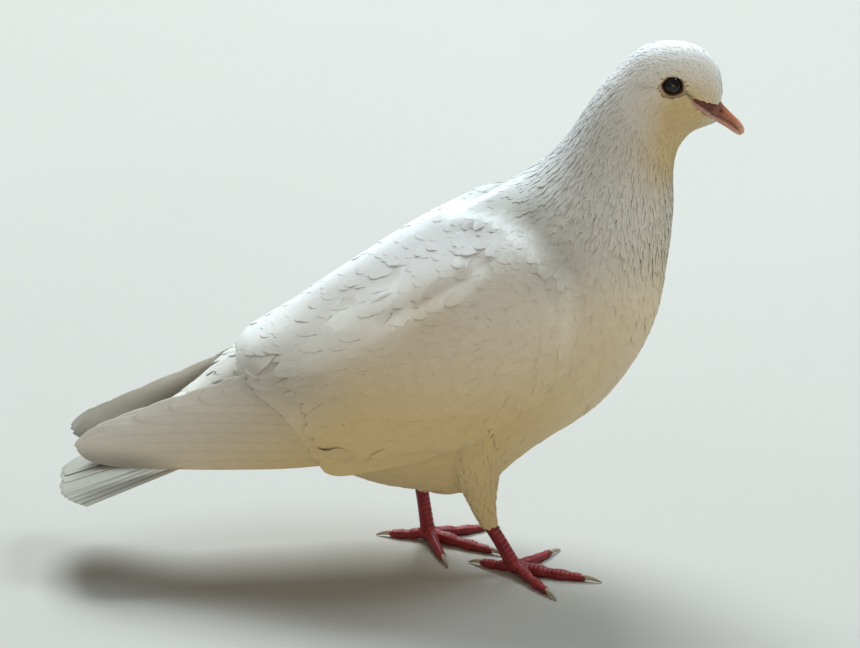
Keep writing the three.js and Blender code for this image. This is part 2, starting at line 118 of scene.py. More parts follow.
# Sections from the tip backwards: distance from the tip, lower and upper height over the bill's
# line, and half the width.
UPPER_BILL = [(0, -1.35, -0.5, 0.5), (1.0, -0.95, 0.85, 1.15), (4, -0.1, 2.3, 1.75), (8, 0.1, 2.9, 2.15),
              (12, 0.1, 3.5, 3.9), (17, 0.1, 4.4, 5.4), (24, 0.1, 5.4, 6.6)]
LOWER_BILL = [(0.5, -2.6, -1.25, 0.6), (2.4, -3.0, -0.85, 1.2), (6, -3.05, -0.25, 1.65),
              (9, -3.1, -0.1, 2.15), (14, -3.5, -0.1, 3.1), (24, -4.6, -0.1, 6.2)]

# The coat from the face to the tail root: a feather's length, width and distance to the next one,
# how far its tip stands over the outer shape, and how deep the skin lies below that shape.
COAT = {
    "face": (2.0, 1.2, 0.72, 0.01, 0.8),
    "bill root": (2.2, 1.2, 0.72, 0.01, 0.5),
    "forehead": (2.6, 1.3, 0.76, 0.01, 0.45),
    "crown": (3.4, 1.5, 0.90, 0.01, 0.45),
    "nape": (5.4, 1.6, 1.1, 0.01, 0.8),
    "upper neck": (7.2, 1.5, 1.15, 0.03, 0.9),
    "lower neck": (9.5, 1.9, 1.45, 0.04, 1.1),
    "shoulder": (12.5, 4.0, 2.4, 0.03, 1.3),
    "breast": (15.0, 8.0, 3.4, 0.02, 1.3),
    "ribs": (17.0, 10.0, 4.0, 0.02, 1.3),
    "vent": (20.0, 11.5, 4.4, 0.03, 1.3),
    "upper coverts": (25.0, 12.0, 5.2, 0.05, 1.3),
    "tail root": (32.0, 13.0, 7.0, 0.10, 1.2),
}
# The vanes of the fine feathers, and of all others.
FINE_VANES = {
    "coat_head": {"stations": (0, 0.5, 0.8, 1), "columns": 5, "roundness": 0.42, "fringe": 0.03,
                  "follow": 0.96},
    "coat_neck": {"stations": (0, 0.4, 0.7, 0.88, 1), "columns": 7, "roundness": 0.42, "fringe": 0.03,
                  "follow": 0.80},
}
BROAD_VANES = {"columns": 13, "roundness": 0.3, "fringe": 0.012, "follow": 0.96}
# Where each piece of the coat begins and ends.
COAT_PIECES = {
    "coat_head": ("face", "nape"),
    "coat_neck": ("nape", "shoulder"),
    "coat_breast": ("shoulder", "ribs"),
    "coat_belly": ("ribs", "vent"),
    "coat_rump": ("vent", "lower coverts"),
}

# ---- wings -------------------------------------------------------------------------------------
# Ribs of a wing's shield, from the wrist to the tips of the secondaries. Each runs from the ridge
# of the back, over the shield's upper edge, to its lower edge, and a point is
# (x, distance from the middle plane, z).
WING_RIBS = [
    ((42, 8.0, 168.0), (50, 28.0, 157.0), (56, 33.5, 152), (62, 37.5, 146), (69, 38.8, 138)),
    ((31, 4.0, 164.6), (37, 18.0, 161.2), (46, 36.6, 149), (55, 43.4, 131), (67, 42.6, 103)),
    ((9, 1.5, 155.2), (17, 11.0, 155.0), (27, 36.6, 136), (38, 45.8, 112), (47, 44.4, 82)),
    ((-16, 1.5, 138.8), (-10, 9.5, 138.4), (0, 35.2, 118), (10, 45.4, 95), (16, 42.5, 67.5)),
    ((-36, 1.5, 121.5), (-36, 9.0, 119.6), (-29, 31.0, 100), (-18, 40.6, 82), (-10, 38.5, 60)),
    ((-50, 1.5, 109.0), (-56, 9.0, 103.5), (-66, 19.4, 87.8), (-48, 30.4, 76.5), (-33, 35.6, 57.5)),
]
RIB_GAPS = (len(WING_RIBS) - 1, len(WING_RIBS[0]) - 1)
# Places in ribs between which a wing's shield comes to lie on the outer shape: towards its upper
# edge, towards the wrist, away from its rear end, and there still along the ridge of the back.
HELD_ABOVE, HELD_AHEAD = (3.6, 2.8), (1.0, 0.3)
FREE_BEHIND, HELD_RIDGE = (4.9, 4.0), (1.7, 1.0)
FRONT_DIP = 0.9 * MM  # how far the wrist is drawn in
# The upper border of a wing's coverts, below the feathers of the back: places in ribs.
WING_BORDER = [1.25, 1.15, 0.95, 0.80, 0.85, 1.05]
SCAPULAR_RISE = 0.22 * MM  # how far the feathers of the back stand over the wings' coverts
# Soft creases in a wing: depth and width in millimetres, then places in ribs along and across.
CREASES = [
    (0.5, 2.4, ((1.6, 1.05), (2.04, 0.96), (2.56, 0.91), (3.04, 0.81), (3.67, 0.80), (4.3, 0.95),
                (4.9, 1.2))),
    (1.4, 1.8, ((3.24, 1.79), (2.71, 1.81), (2.16, 1.86), (1.66, 1.81))),
    (0.9, 3.2, ((1.72, 1.62), (1.6, 1.78))),
    (0.9, 3.0, ((2.85, 1.32), (3.05, 1.40))),
    (0.9, 3.4, ((3.4, 1.28), (3.7, 1.38))),
    (0.8, 3.0, ((4.0, 2.5), (4.6, 2.9))),
]

WING_ROWS, WING_COLUMNS = 90, 60
RIDGE_MARGIN = 0.6  # columns of a wing's chart that its feathers leave free along the ridge
WING_LENGTH = 131  # from the wrist to the tips, along the middle
COVERT_END = 0.80  # share of the shield's length at which the last row of coverts has its roots
# Ribs of a blade of folded primaries: its upper and lower edge, towards the tip.
BLADE_RIBS = [
    ((-50, 21.0, 90.0), (-22, 35.0, 57.4)),
    ((-66, 18.0, 84.6), (-50, 31.6, 54.6)),
    ((-84, 15.0, 78.0), (-80, 25.4, 51.6)),
    ((-104, 12.4, 71.2), (-106, 19.6, 49.8)),
    ((-122, 10.6, 65.0), (-125, 14.6, 50.4)),
    ((-130.6, 10.2, 60.6), (-133.4, 11.8, 53.6)),
]
# From the outermost primary, lowest in the stack, to the innermost, on top: the tip's place along
# the blade, counted in ribs, and the tip's and the root's place from its upper to its lower edge.
PRIMARIES = [
    (4.80, 0.80, 0.95),
    (4.97, 0.56, 0.84),
    (5.00, 0.34, 0.73),
    (4.52, 0.18, 0.62),
    (3.85, 0.10, 0.51),
    (3.15, 0.05, 0.41),
    (2.45, 0.02, 0.31),
    (1.85, 0.00, 0.22),
    (1.35, 0.00, 0.14),
    (0.90, 0.00, 0.07),
]
# How far the left and the right blade are drawn out, and how much their tips droop.
PRIMARY_REACH = {"left": 1.075, "right": 1.045}
PRIMARY_DROOP = {"left": 0.6, "right": 0.3}
SECONDARIES = 11  # of 13 with the tertials: the two innermost are hidden
TAIL_ROOT_X, TAIL_TIP_X = -58, -140.4
TAIL_SLOPE = 0.372  # fall for each millimetre backwards
TAIL_TIP_HEIGHT = 34.4
TAIL_SPREAD = (0.22, 0.50, 0.62, 0.74, 0.86, 0.97)  # where each pair lies, from the middle to the edge
# The feathers over the root of the tail, between the folded wings: x, upper and lower height, and
# half the width.
RUMP_RIBS = [(-34, 115.5, 80, 14), (-46, 108.4, 68, 14), (-57, 101.8, 63, 15), (-66, 96.2, 60, 16.0),
             (-74, 89.8, 57.5, 15.6), (-84, 79.2, 54.5, 14.2), (-98, 68.0, 49.5, 11.6),
             (-110, 58.4, 45.5, 8.4), (-118, 50.8, 43.0, 5.0)]

# ---- legs --------------------------------------------------------------------------------------
LEG_LINES = {
    "right": ((35.7, -18.0, 23.4), (32.8, -18.6, 35.5), (30, -20, 62), (34, -18, 84)),
    "left": ((8.9, 17.6, 24.0), (7.4, 18.6, 37.0), (13, 20, 62), (18, 18, 84)),
}  # cuff of feathers, calf, knee and hip
THIGH_RADII = (4.1, 7.4, 12.4, 16.0, 18.5)  # from the cuff to the hip
CUFF_SLANT = 0.4  # rise of the cuff towards the back
TOES = ("middle", "outer", "inner", "hind")


# ---- small helpers -----------------------------------------------------------------------------
def unit(vectors):
    """Vectors of length one, along the last axis."""
    return vectors / np.maximum(np.linalg.norm(vectors, axis=-1, keepdims=True), 1e-12)


def dot(a, b):
    """Scalar products along the last axis, which is kept."""
    return (a * b).sum(-1, keepdims=True)


def smooth_step(low, high, value):
    """0 below low, 1 above high, and a smooth rise between them."""
    share = np.clip((value - low) / (high - low), 0, 1)
    return share * share * (3 - 2 * share)


def through(points, places):
    """A smooth curve through points, read at places counted in points from 0."""
    points = np.asarray(points, float)
    padded = np.concatenate([[2 * points[0] - points[1]], points, [2 * points[-1] - points[-2]]])
    index = np.clip(np.floor(places).astype(int), 0, len(points) - 2)
    share = (places - index).reshape((-1,) + (1,) * (points.ndim - 1))
    before, start, end, after = (padded[index + k] for k in range(4))
    return 0.5 * (
        2 * start
        + (end - before) * share
        + (2 * before - 5 * start + 4 * end - after) * share**2
        + (3 * start - before - 3 * end + after) * share**3
    )


def soften(field, passes, wraps):
    """field with each value drawn towards its neighbours, round the columns if it wraps."""
    for _ in range(passes):
        if wraps:
            left, right = np.roll(field, 1, 1), np.roll(field, -1, 1)
        else:
            wide = np.concatenate([field[:, :1], field, field[:, -1:]], 1)
            left, right = wide[:, :-2], wide[:, 2:]
        field = (left + 2 * field + right) / 4
        tall = np.concatenate([field[:1], field, field[-1:]])
        field = (tall[:-2] + 2 * field + tall[2:]) / 4
    return field


def write_floats(mesh, floats):
    """Gives a mesh named numbers, one for each point."""
    for label, values in floats.items():
        mesh.attributes.new(label, "FLOAT", "POINT").data.foreach_set("value", values.astype(np.float32))


def new_piece(name, points, faces, material, floats=None):
    """A smooth mesh object of points and faces, with named numbers for each point."""
    mesh = bpy.data.meshes.new(name)
    corners = faces.tolist() if isinstance(faces, np.ndarray) else faces
    mesh.from_pydata(np.asarray(points).tolist(), [], corners, shade_flat=False)
    write_floats(mesh, floats or {})
    mesh.materials.append(material)
    piece = bpy.data.objects.new(name, mesh)
    bpy.context.scene.collection.objects.link(piece)
    return piece


def grid_faces(rows, columns, wraps=False, offset=0):
    """Quads of a grid of points, row by row."""
    row, column = np.meshgrid(np.arange(rows - 1), np.arange(columns - (not wraps)), indexing="ij")
    after = (column + 1) % columns
    corners = [row * columns + column, (row + 1) * columns + column, (row + 1) * columns + after,
               row * columns + after]
    return np.stack(corners, -1).reshape(-1, 4) + offset


def settle(piece, slot, *replaced):
    """Makes a piece ride on the body and stand for the nodes that it replaces."""
    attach(piece, BODY)
    if replaced:
        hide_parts(*replaced)
    return piece


def fused(name, points, faces, voxel, passes, material):
    """A piece of one closed skin round points and faces that may run through each other."""
    raw = new_piece("raw", points, faces, material)
    remesh = raw.modifiers.new("join", "REMESH")
    remesh.mode, remesh.voxel_size, remesh.use_smooth_shade = "VOXEL", voxel, True
    raw.modifiers.new("soft", "SMOOTH").iterations = passes
    graph = bpy.context.evaluated_depsgraph_get()
    piece = bpy.data.objects.new(name, bpy.data.meshes.new_from_object(raw.evaluated_get(graph)))
    bpy.data.objects.remove(raw)
    bpy.context.scene.collection.objects.link(piece)
    return piece


def points_of(mesh):
    """All vertices of a mesh as rows."""
    points = np.zeros(len(mesh.vertices) * 3, np.float32)
    mesh.vertices.foreach_get("co", points)
    return points.reshape(-1, 3).astype(float)


def normals_of(mesh):
    """All vertex normals of a mesh as rows."""
    normals = np.zeros(len(mesh.vertices) * 3, np.float32)
    mesh.vertices.foreach_get("normal", normals)
    return normals.reshape(-1, 3).astype(float)


def on_left(points):
    """Points with those of the right side mirrored to the left one."""
    return np.stack([points[..., 0], np.abs(points[..., 1]), points[..., 2]], -1)


def joined_nodes(names):
    """Vertices and triangles of several nodes as one list each."""
    points, faces, count = [], [], 0
    for name in names:
        mesh = NODES[name].data
        mesh.calc_loop_triangles()
        own = points_of(mesh)
        points.append(own)
        faces += [[v + count for v in t.vertices] for t in mesh.loop_triangles]
        count += len(own)
    return np.concatenate(points), faces


# ---- charts: surfaces to lay feathers on ----------------------------------------------------------
class Chart:
    """A smooth surface over a grid of rows and columns, on which feathers are laid."""

    def __init__(self, points, wraps, outside):
        self.wraps = wraps
        self.rows, self.columns = points.shape[:2]
        if wraps:
            round_slope = (np.roll(points, -1, 1) - np.roll(points, 1, 1)) / 2
        else:
            round_slope = np.gradient(points, axis=1)
        along_slope = np.gradient(points, axis=0)
        normals = unit(np.cross(along_slope, round_slope)) * outside
        self.data = np.concatenate([points, along_slope, round_slope, normals], -1)

    def at(self, row, column):
        """Point, slope along the rows, slope along the columns and normal at places on the grid."""
        inside = np.clip(row, 0, self.rows - 1.001)
        r = np.floor(inside).astype(int)
        fr = (inside - r)[..., None]
        if self.wraps:
            across = column
            c = np.floor(column).astype(int)
            fc = (column - c)[..., None]
            c, after = c % self.columns, (c + 1) % self.columns
        else:
            across = np.clip(column, 0, self.columns - 1.001)
            c = np.floor(across).astype(int)
            fc = (across - c)[..., None]
            after = c + 1
        data = self.data
        low = data[r, c] * (1 - fc) + data[r, after] * fc
        high = data[r + 1, c] * (1 - fc) + data[r + 1, after] * fc
        found = low * (1 - fr) + high * fr
        point, along, around, normal = np.split(found, 4, axis=-1)
        point = point + along * (row - inside)[..., None] + around * (column - across)[..., None]
        return point, along, around, unit(normal)

    def walk(self, row, column, step):
        """Places on the grid after a step in space."""
        _, along, around, _ = self.at(row, column)
        aa, ar, rr = dot(along, along), dot(along, around), dot(around, around)
        sa, sr = dot(step, along), dot(step, around)
        span = np.maximum(aa * rr - ar * ar, 1e-18)
        return row + ((sa * rr - sr * ar) / span)[..., 0], column + ((sr * aa - sa * ar) / span)[..., 0]

    def kept_in(self, column):
        """Columns that don't pass the first one, which is the ridge of the back on a wing."""
        return column if self.wraps else np.maximum(column, RIDGE_MARGIN)

    def unwrap(self, row, column):
        """Places on the grid as places on a square map."""
        return np.stack([0.02 + 0.96 * (column % self.columns if self.wraps else column) / self.columns,
                         0.02 + 0.96 * row / self.rows], -1)


def body_guides():
    """Centres, upward arms and half-widths of sections at even steps along the body, and their places."""
    rows = np.array([(*top, *bottom, width) for top, bottom, width in SECTIONS.values()])
    fine = through(rows, np.linspace(0, len(rows) - 1, 2000))
    speeds = np.linalg.norm(np.diff((fine[:, :2] + fine[:, 2:4]) / 2, axis=0), axis=1)
    for side in (fine[:, :2], fine[:, 2:4]):
        speeds = speeds + np.linalg.norm(np.diff(side, axis=0), axis=1)
    travelled = np.concatenate([[0], np.cumsum(speeds)])
    steps = np.linspace(0, travelled[-1], BODY_ROWS)
    places = np.interp(steps, travelled, np.linspace(0, len(rows) - 1, 2000))
    guides = through(rows, places)
    top, bottom, width = guides[:, :2] * MM, guides[:, 2:4] * MM, guides[:, 4] * MM
    flat = np.zeros(len(guides))
    middle, arm = (top + bottom) / 2, (top - bottom) / 2
    centre = np.stack([middle[:, 0], flat, middle[:, 1]], -1)
    upward = np.stack([arm[:, 0], flat, arm[:, 1]], -1)
    return centre, upward, width, places


def outer_shape():
    """The chart of the plumage's outer shape over head, neck, trunk and wings, and each row's place."""
    centre, upward, width, places = body_guides()
    angles = np.linspace(0, 2 * np.pi, BODY_COLUMNS, endpoint=False)
    sideways = np.stack([np.zeros_like(width), width, np.zeros_like(width)], -1)
    arms = (upward[:, None] * np.cos(angles)[None, :, None]
            + sideways[:, None] * np.sin(angles)[None, :, None])
    points, faces = joined_nodes(["head", "neck", "trunk", "wing_left", "wing_right"])
    tree = BVHTree.FromPolygons(points.tolist(), faces)
    sizes = np.linalg.norm(arms, axis=-1)
    scale = np.ones(arms.shape[:2])
    for r, c in np.ndindex(*scale.shape):
        out = Vector(arms[r, c]) / sizes[r, c]
        reach = sizes[r, c] + RAY_START
        hit = tree.ray_cast(Vector(centre[r]) + out * reach, -out, reach)[3]
        if hit is not None:
            scale[r, c] = (reach - hit) / sizes[r, c]
    scale = close_back(scale, centre)
    scale = fill_gaps(scale, centre[:, None] + arms * scale[..., None])
    x = (centre[:, None, 0] + arms[..., 0] * scale) / MM
    stern = smooth_step(*STERN_START, x) * smooth_step(*STERN_END, x)
    stern = stern * smooth_step(0.0, 0.5, np.cos(angles))
    scale = scale + (soften(scale, 50, True) - scale) * stern
    points = centre[:, None] + arms * scale[..., None]
    down = smooth_step(-0.25, -0.9, Chart(points, True, -1).data[..., 11])
    x = points[..., 0] / MM
    fluff = FLUFF[0] + FLUFF[1] * smooth_step(6, 22, x)
    points[..., 2] -= down * fluff * smooth_step(-26, -12, x) * smooth_step(52, 32, x) * MM
    start, end, share = FACE_TAPER
    points[..., 1] *= 1 - share * smooth_step(start, end, x)
    return Chart(points, True, -1), places


def close_back(scale, centre):
    """Fills the groove along the back, between the upper edges of the two wings."""
    half = BODY_COLUMNS // 2
    across = np.roll(scale, half, 1)
    columns = np.arange(BODY_COLUMNS)
    for r in np.flatnonzero((centre[:, 0] < 60 * MM) & (centre[:, 0] > -64 * MM)):
        left = half - BACK_COLUMNS + across[r, half - BACK_COLUMNS:half].argmax()
        right = half + across[r, half:half + BACK_COLUMNS + 1].argmax()
        bridge = np.interp(columns, [left, right], across[r, [left, right]])
        span = (columns > left) & (columns < right)
        across[r, span] = np.maximum(across[r, span], bridge[span])
    x = centre[:, :1] / MM
    share = smooth_step(-72, -60, x) * smooth_step(66, 56, x) * smooth_step(38, 26, np.abs(columns - half))
    across = across + (soften(across, 14, False) - across) * share
    return np.roll(across, -half, 1)


def fill_gaps(scale, points):
    """The scale of the sections without the thin gaps between solids and the holes round the eyes."""
    stacked = np.stack([np.roll(scale, k, 0) for k in (-2, -1, 0, 1, 2)])
    middle = np.median(stacked, 0)
    scale[2:-2] = np.where(scale < 0.985 * middle, middle, scale)[2:-2]
    eye = np.array(EYE_CENTRE) * MM
    hole = np.linalg.norm(on_left(points) - eye, axis=-1) < EYE_HOLE
    known = np.where(hole, scale[~hole & (np.abs(points[..., 0] - eye[0]) < 15 * MM)].mean(), scale)
    for _ in range(400):
        known = np.where(hole, soften(known, 1, True), scale)
    return soften(known, 5, True)


def wing_shape(side, outer_tree):
    """The chart of one wing's shield: rows from the wrist to the tips, columns from top to bottom.

    Its upper part lies on the outer shape, and its lower edge and its tips stand free of the body.
    """
    ribs = np.array(WING_RIBS, float) * MM
    ribs[..., 1] *= side
    row_places = np.linspace(0, RIB_GAPS[0], WING_ROWS)
    column_places = np.linspace(0, RIB_GAPS[1], WING_COLUMNS)
    lines = through(ribs, row_places)
    grid = through(lines.transpose(1, 0, 2), column_places).transpose(1, 0, 2)
    row_place, column_place = np.meshgrid(row_places, column_places, indexing="ij")
    hold = np.maximum(smooth_step(*HELD_ABOVE, column_place), smooth_step(*HELD_AHEAD, row_place))
    hold = hold * np.maximum(smooth_step(*FREE_BEHIND, row_place), smooth_step(*HELD_RIDGE, column_place))
    nearest = [outer_tree.find_nearest(point)[0] for point in grid.reshape(-1, 3).tolist()]
    move = (np.array(nearest).reshape(grid.shape) - grid) * hold[..., None]
    grid = grid + soften(move, 3, False)
    chart = Chart(grid, False, -side)
    dips = np.zeros(grid.shape[:2])
    for depth, width, line in CREASES:
        fine = through(np.array(line, float), np.linspace(0, len(line) - 1, 24))
        path = chart.at(fine[:, 0] / RIB_GAPS[0] * (WING_ROWS - 1),
                        fine[:, 1] / RIB_GAPS[1] * (WING_COLUMNS - 1))[0]
        gap = np.linalg.norm(grid[:, :, None] - path, axis=-1).min(-1) / MM
        dips = np.maximum(dips, depth * MM * np.exp(-((gap / width) ** 2)))
    dips += FRONT_DIP * smooth_step(0.75, 0.05, row_place)
    return Chart(grid - chart.data[..., 9:] * dips[..., None], False, -side)


def wing_places(chart, points):
    """Distance of points from a wing's chart, and their places on it in ribs along and across."""
    grid = on_left(chart.data[..., :3].reshape(-1, 3))
    tree = KDTree(len(grid))
    for index, point in enumerate(grid):
        tree.insert(point, index)
    tree.balance()
    found = [tree.find(point) for point in on_left(points).tolist()]
    row, column = np.divmod(np.array([index for _, index, _ in found]), WING_COLUMNS)
    row = row / (WING_ROWS - 1) * RIB_GAPS[0]
    return np.array([gap for _, _, gap in found]), row, column / (WING_COLUMNS - 1) * RIB_GAPS[1]


def rump_shape():
    """The chart of the feathers over the root of the tail, between the folded wings."""
    ribs = through(np.array(RUMP_RIBS, float), np.linspace(0, len(RUMP_RIBS) - 1, 80)) * MM
    turn = np.linspace(0, 2 * np.pi, 60, endpoint=False)
    x, top, bottom, half = (ribs[:, k, None] for k in range(4))
    height = (top + bottom) / 2 + (top - bottom) / 2 * np.cos(turn)
    points = np.stack([x + 0 * turn, half * np.sin(turn), height], -1)
    return Chart(points, True, -1)


def blade_shape(side):
    """The chart of one wing's folded primaries: rows towards the tip, one column for each edge."""
    ribs = np.array(BLADE_RIBS, float) * MM
    ribs[..., 1] *= side
    lines = through(ribs, np.linspace(0, len(BLADE_RIBS) - 1, 60))
    share = np.linspace(0, 1, 12)[None, :, None]
    grid = lines[:, :1] * (1 - share) + lines[:, 1:] * share
    bulge = 1.2 + 3.4 * smooth_step(24, 0, np.arange(60))[:, None]
    grid[..., 1] += side * bulge * MM * np.sin(np.pi * share[..., 0])
    return Chart(grid, False, -side)


def thigh_shape(name):
    """The chart of one feathered thigh, from the knee down to the cuff."""
    stops = np.array(LEG_LINES[name][::-1], float)
    line = through(stops, np.linspace(0, len(stops) - 1, 80)) * MM
    reach = np.linalg.norm(np.diff(line, axis=0), axis=1)
    share = 1 - np.concatenate([[0], np.cumsum(reach)]) / reach.sum()
    radii = through(np.array(THIGH_RADII)[:, None], share * (len(THIGH_RADII) - 1))[:, 0] * MM
    tangent = unit(np.gradient(line, axis=0))
    ahead = unit(np.array([1.0, 0, 0]) - dot(tangent, np.array([1.0, 0, 0])) * tangent)
    aside = np.cross(tangent, ahead)
    angles = np.linspace(0, 2 * np.pi, 48, endpoint=False)
    ring = (ahead[:, None] * np.cos(angles)[None, :, None]
            + aside[:, None] * np.sin(angles)[None, :, None])
    points = line[:, None] + ring * radii[:, None, None]
    behind = np.maximum(line[:, None, 0] - points[..., 0], 0)
    points[..., 2] += CUFF_SLANT * behind * smooth_step(0.35, 0.0, share)[:, None]
    chart = Chart(points, True, 1)
    return chart if (chart.data[..., 9:] * ring).sum() > 0 else Chart(points, True, -1)


# ---- tints, painted shade and warm bounce light --------------------------------------------------
# Soft patches of a tint, on both sides: their centre on the left one, and their radius. The face's tan is
# its own; the throat and chest patches add cream that is partly painted warm bounce light; the patch on
# the middle of the wing is painted shade, and the one at the wrist is the neck's painted shadow on the
# shoulder.
TINT_AND_SHADE_PATCHES = {
    "throat": ((108, 6, 184), 17),
    "face": ((116, 9, 206), 15),
    "chest": ((104, 6, 130), 36),
    "middle of the wing": ((8, 38, 131), 14),
    "wrist": ((61, 36, 149), 13),
}
MANTLE_SHADE_LINE = ((16, 162), (54, 164), 7)  # painted shade over the mantle: from where to where as (x, z), and radius
# Thin dark lines at the corner of the mouth, behind the eye and along the wing, the last one painted shade
# in the crease of the wing's lower edge: how dark, from where to where as (x, z), and radius.
DARK_AND_SHADE_LINES = [
    (0.9, (115.6, 213.6), (118.8, 210.4), 0.7),
    (0.3, (105.6, 215.0), (96, 215.8), 0.6),
    (0.10, (-8.6, 119.2), (21.3, 137.2), 1.4),
]


def bump_at(points, centre, radius):
    """1 at centre and 0 beyond a few radii; the bird's two sides count alike."""
    return np.exp(-(np.linalg.norm(on_left(points) - centre, axis=-1) / radius) ** 2)


def line_at(points, start, end, radius):
    """1 on the line from start to end, given as (x, z), and 0 beyond about a radius from it."""
    flat = points[..., [0, 2]]
    start, end = np.array(start, float), np.array(end, float)
    share = np.clip(((flat - start) @ (end - start)) / ((end - start) ** 2).sum(), 0, 1)
    gap = np.linalg.norm(flat - start - share[..., None] * (end - start), axis=-1)
    return np.exp(-(gap / radius) ** 2) * smooth_step(1, 5, np.abs(points[..., 1]))


def tints_and_shade(points):
    """How much cream, grey and dark brown the plumage has at points, the same for skin and coat: partly
    its own tints, partly painted warm bounce light, shade and shadow.
    """
    p = points / MM
    x, z, aside = p[..., 0], p[..., 2], np.abs(p[..., 1])
    # Cream low on the body is partly the bird's own and partly painted warm bounce light; flank_shade adds
    # painted warm shade on the sides.
    under = smooth_step(150, 44, z + 0.55 * np.maximum(-x - 20, 0))
    flank_shade = smooth_step(20, 42, aside) * smooth_step(168, 138, z)
    throat, face, chest, shade, wrist = (bump_at(p, *patch) for patch in TINT_AND_SHADE_PATCHES.values())
    cream = 0.05 + 0.95 * under + 0.25 * flank_shade + 0.9 * throat + face + 0.65 * chest + 0.25 * shade
    # A grey tint on the neck, partly its own and partly painted shade on its side.
    neck = smooth_step(212, 190, z) * smooth_step(118, 148, z) * smooth_step(40, 66, x)
    # Grey on the tail: painted shadow of the folded wings.
    stern = smooth_step(-84, -112, x) * smooth_step(58, 48, z)
    # Grey over the mantle and at the wrist: painted shade, and the neck's painted shadow on the shoulder.
    mantle_shade = 0.64 * line_at(p, *MANTLE_SHADE_LINE) + 0.46 * wrist
    # Grey on the sides behind the wings and on the primaries: painted shade.
    rear = smooth_step(-12, -50, x) * smooth_step(134, 106, z) * smooth_step(8, 18, aside)
    rear = rear * (0.08 + 0.34 * smooth_step(-94, -66, x) * smooth_step(74, 90, z))
    grey = 0.24 * neck * (1 - 0.7 * throat) + np.minimum(mantle_shade, 0.64) + 0.10 * shade + rear + 0.95 * stern
    # Dark brown lines; the one along the wing is painted shade in its crease.
    dark = sum(share * line_at(p, *line) for share, *line in DARK_AND_SHADE_LINES)
    return {"cream": np.clip(cream, 0, 1), "grey": grey, "dark": np.clip(dark, 0, 1)}


# ---- materials -----------------------------------------------------------------------------------
def node(tree, kind, inputs=None, **settings):
    """A new shader node with its settings, and with its inputs set or linked."""
    made = tree.nodes.new(kind)
    for label, value in settings.items():
        setattr(made, label, value)
    for label, value in (inputs or {}).items():
        if isinstance(value, bpy.types.NodeSocket):
            tree.links.new(value, made.inputs[label])
        else:
            made.inputs[label].default_value = value
    return made


def attribute(tree, label):
    """A named number of the mesh."""
    return node(tree, "ShaderNodeAttribute", attribute_name=label).outputs["Fac"]


def blend(tree, share, first, second):
    """Two colours mixed by share."""
    return node(tree, "ShaderNodeMix", {0: share, 6: first, 7: second}, data_type="RGBA").outputs[2]


def remap(tree, value, low, high, to_low=0, to_high=1):
    """A number stretched from between low and high to between to_low and to_high, and held there."""
    inputs = {"Value": value, "From Min": low, "From Max": high, "To Min": to_low, "To Max": to_high}
    return node(tree, "ShaderNodeMapRange", inputs).outputs["Result"]


def maths(tree, how, first, second=0.0):
    """A number worked out from one or two others."""
    return node(tree, "ShaderNodeMath", {0: first, 1: second}, operation=how).outputs[0]


def noise(tree, scale, detail=3.0):
    """Noise with scale features to the metre."""
    place = node(tree, "ShaderNodeTexCoord").outputs["Object"]
    return node(tree, "ShaderNodeTexNoise", {"Vector": place, "Scale": scale, "Detail": detail}).outputs[0]


def times(tree, colour, share):
    """A colour made lighter or darker by a number."""
    return node(tree, "ShaderNodeVectorMath", {0: colour, "Scale": share}, operation="SCALE").outputs[0]


def mottled(tree, colour, grain, low, high):
    """A colour made lighter and darker by noise."""
    return times(tree, colour, remap(tree, grain, 0.3, 0.7, low, high))


def paint(tree, shader, colour):
    """Gives a shader its colour."""
    tree.links.new(colour, shader.inputs["Base Color"])


def surface(name, **inputs):
    """A new material, its node tree and its shader."""
    made = bpy.data.materials.new(name)
    made.use_nodes = True
    shader = made.node_tree.nodes["Principled BSDF"]
    for label, value in inputs.items():
        shader.inputs[label.replace("_", " ")].default_value = value
    return made, made.node_tree, shader


def raise_by(tree, shader, height, depth, strength=1.0):
    """Bump of a height of 0 to 1 that stands for a depth in metres."""
    made = node(tree, "ShaderNodeBump", {"Height": height, "Distance": depth, "Strength": strength})
    tree.links.new(made.outputs["Normal"], shader.inputs["Normal"])


WHITE = (0.85, 0.87, 0.875, 1)
# The cream is partly the bird's own tint and partly painted warm bounce light; the grey is mostly painted
# shade and shadow, with the neck's own grey.
CREAM_AND_WARM_BOUNCE = (0.715, 0.555, 0.288, 1)
GREY_AND_SHADE = (0.37, 0.355, 0.30, 1)
UMBER = (0.16, 0.11, 0.07, 1)


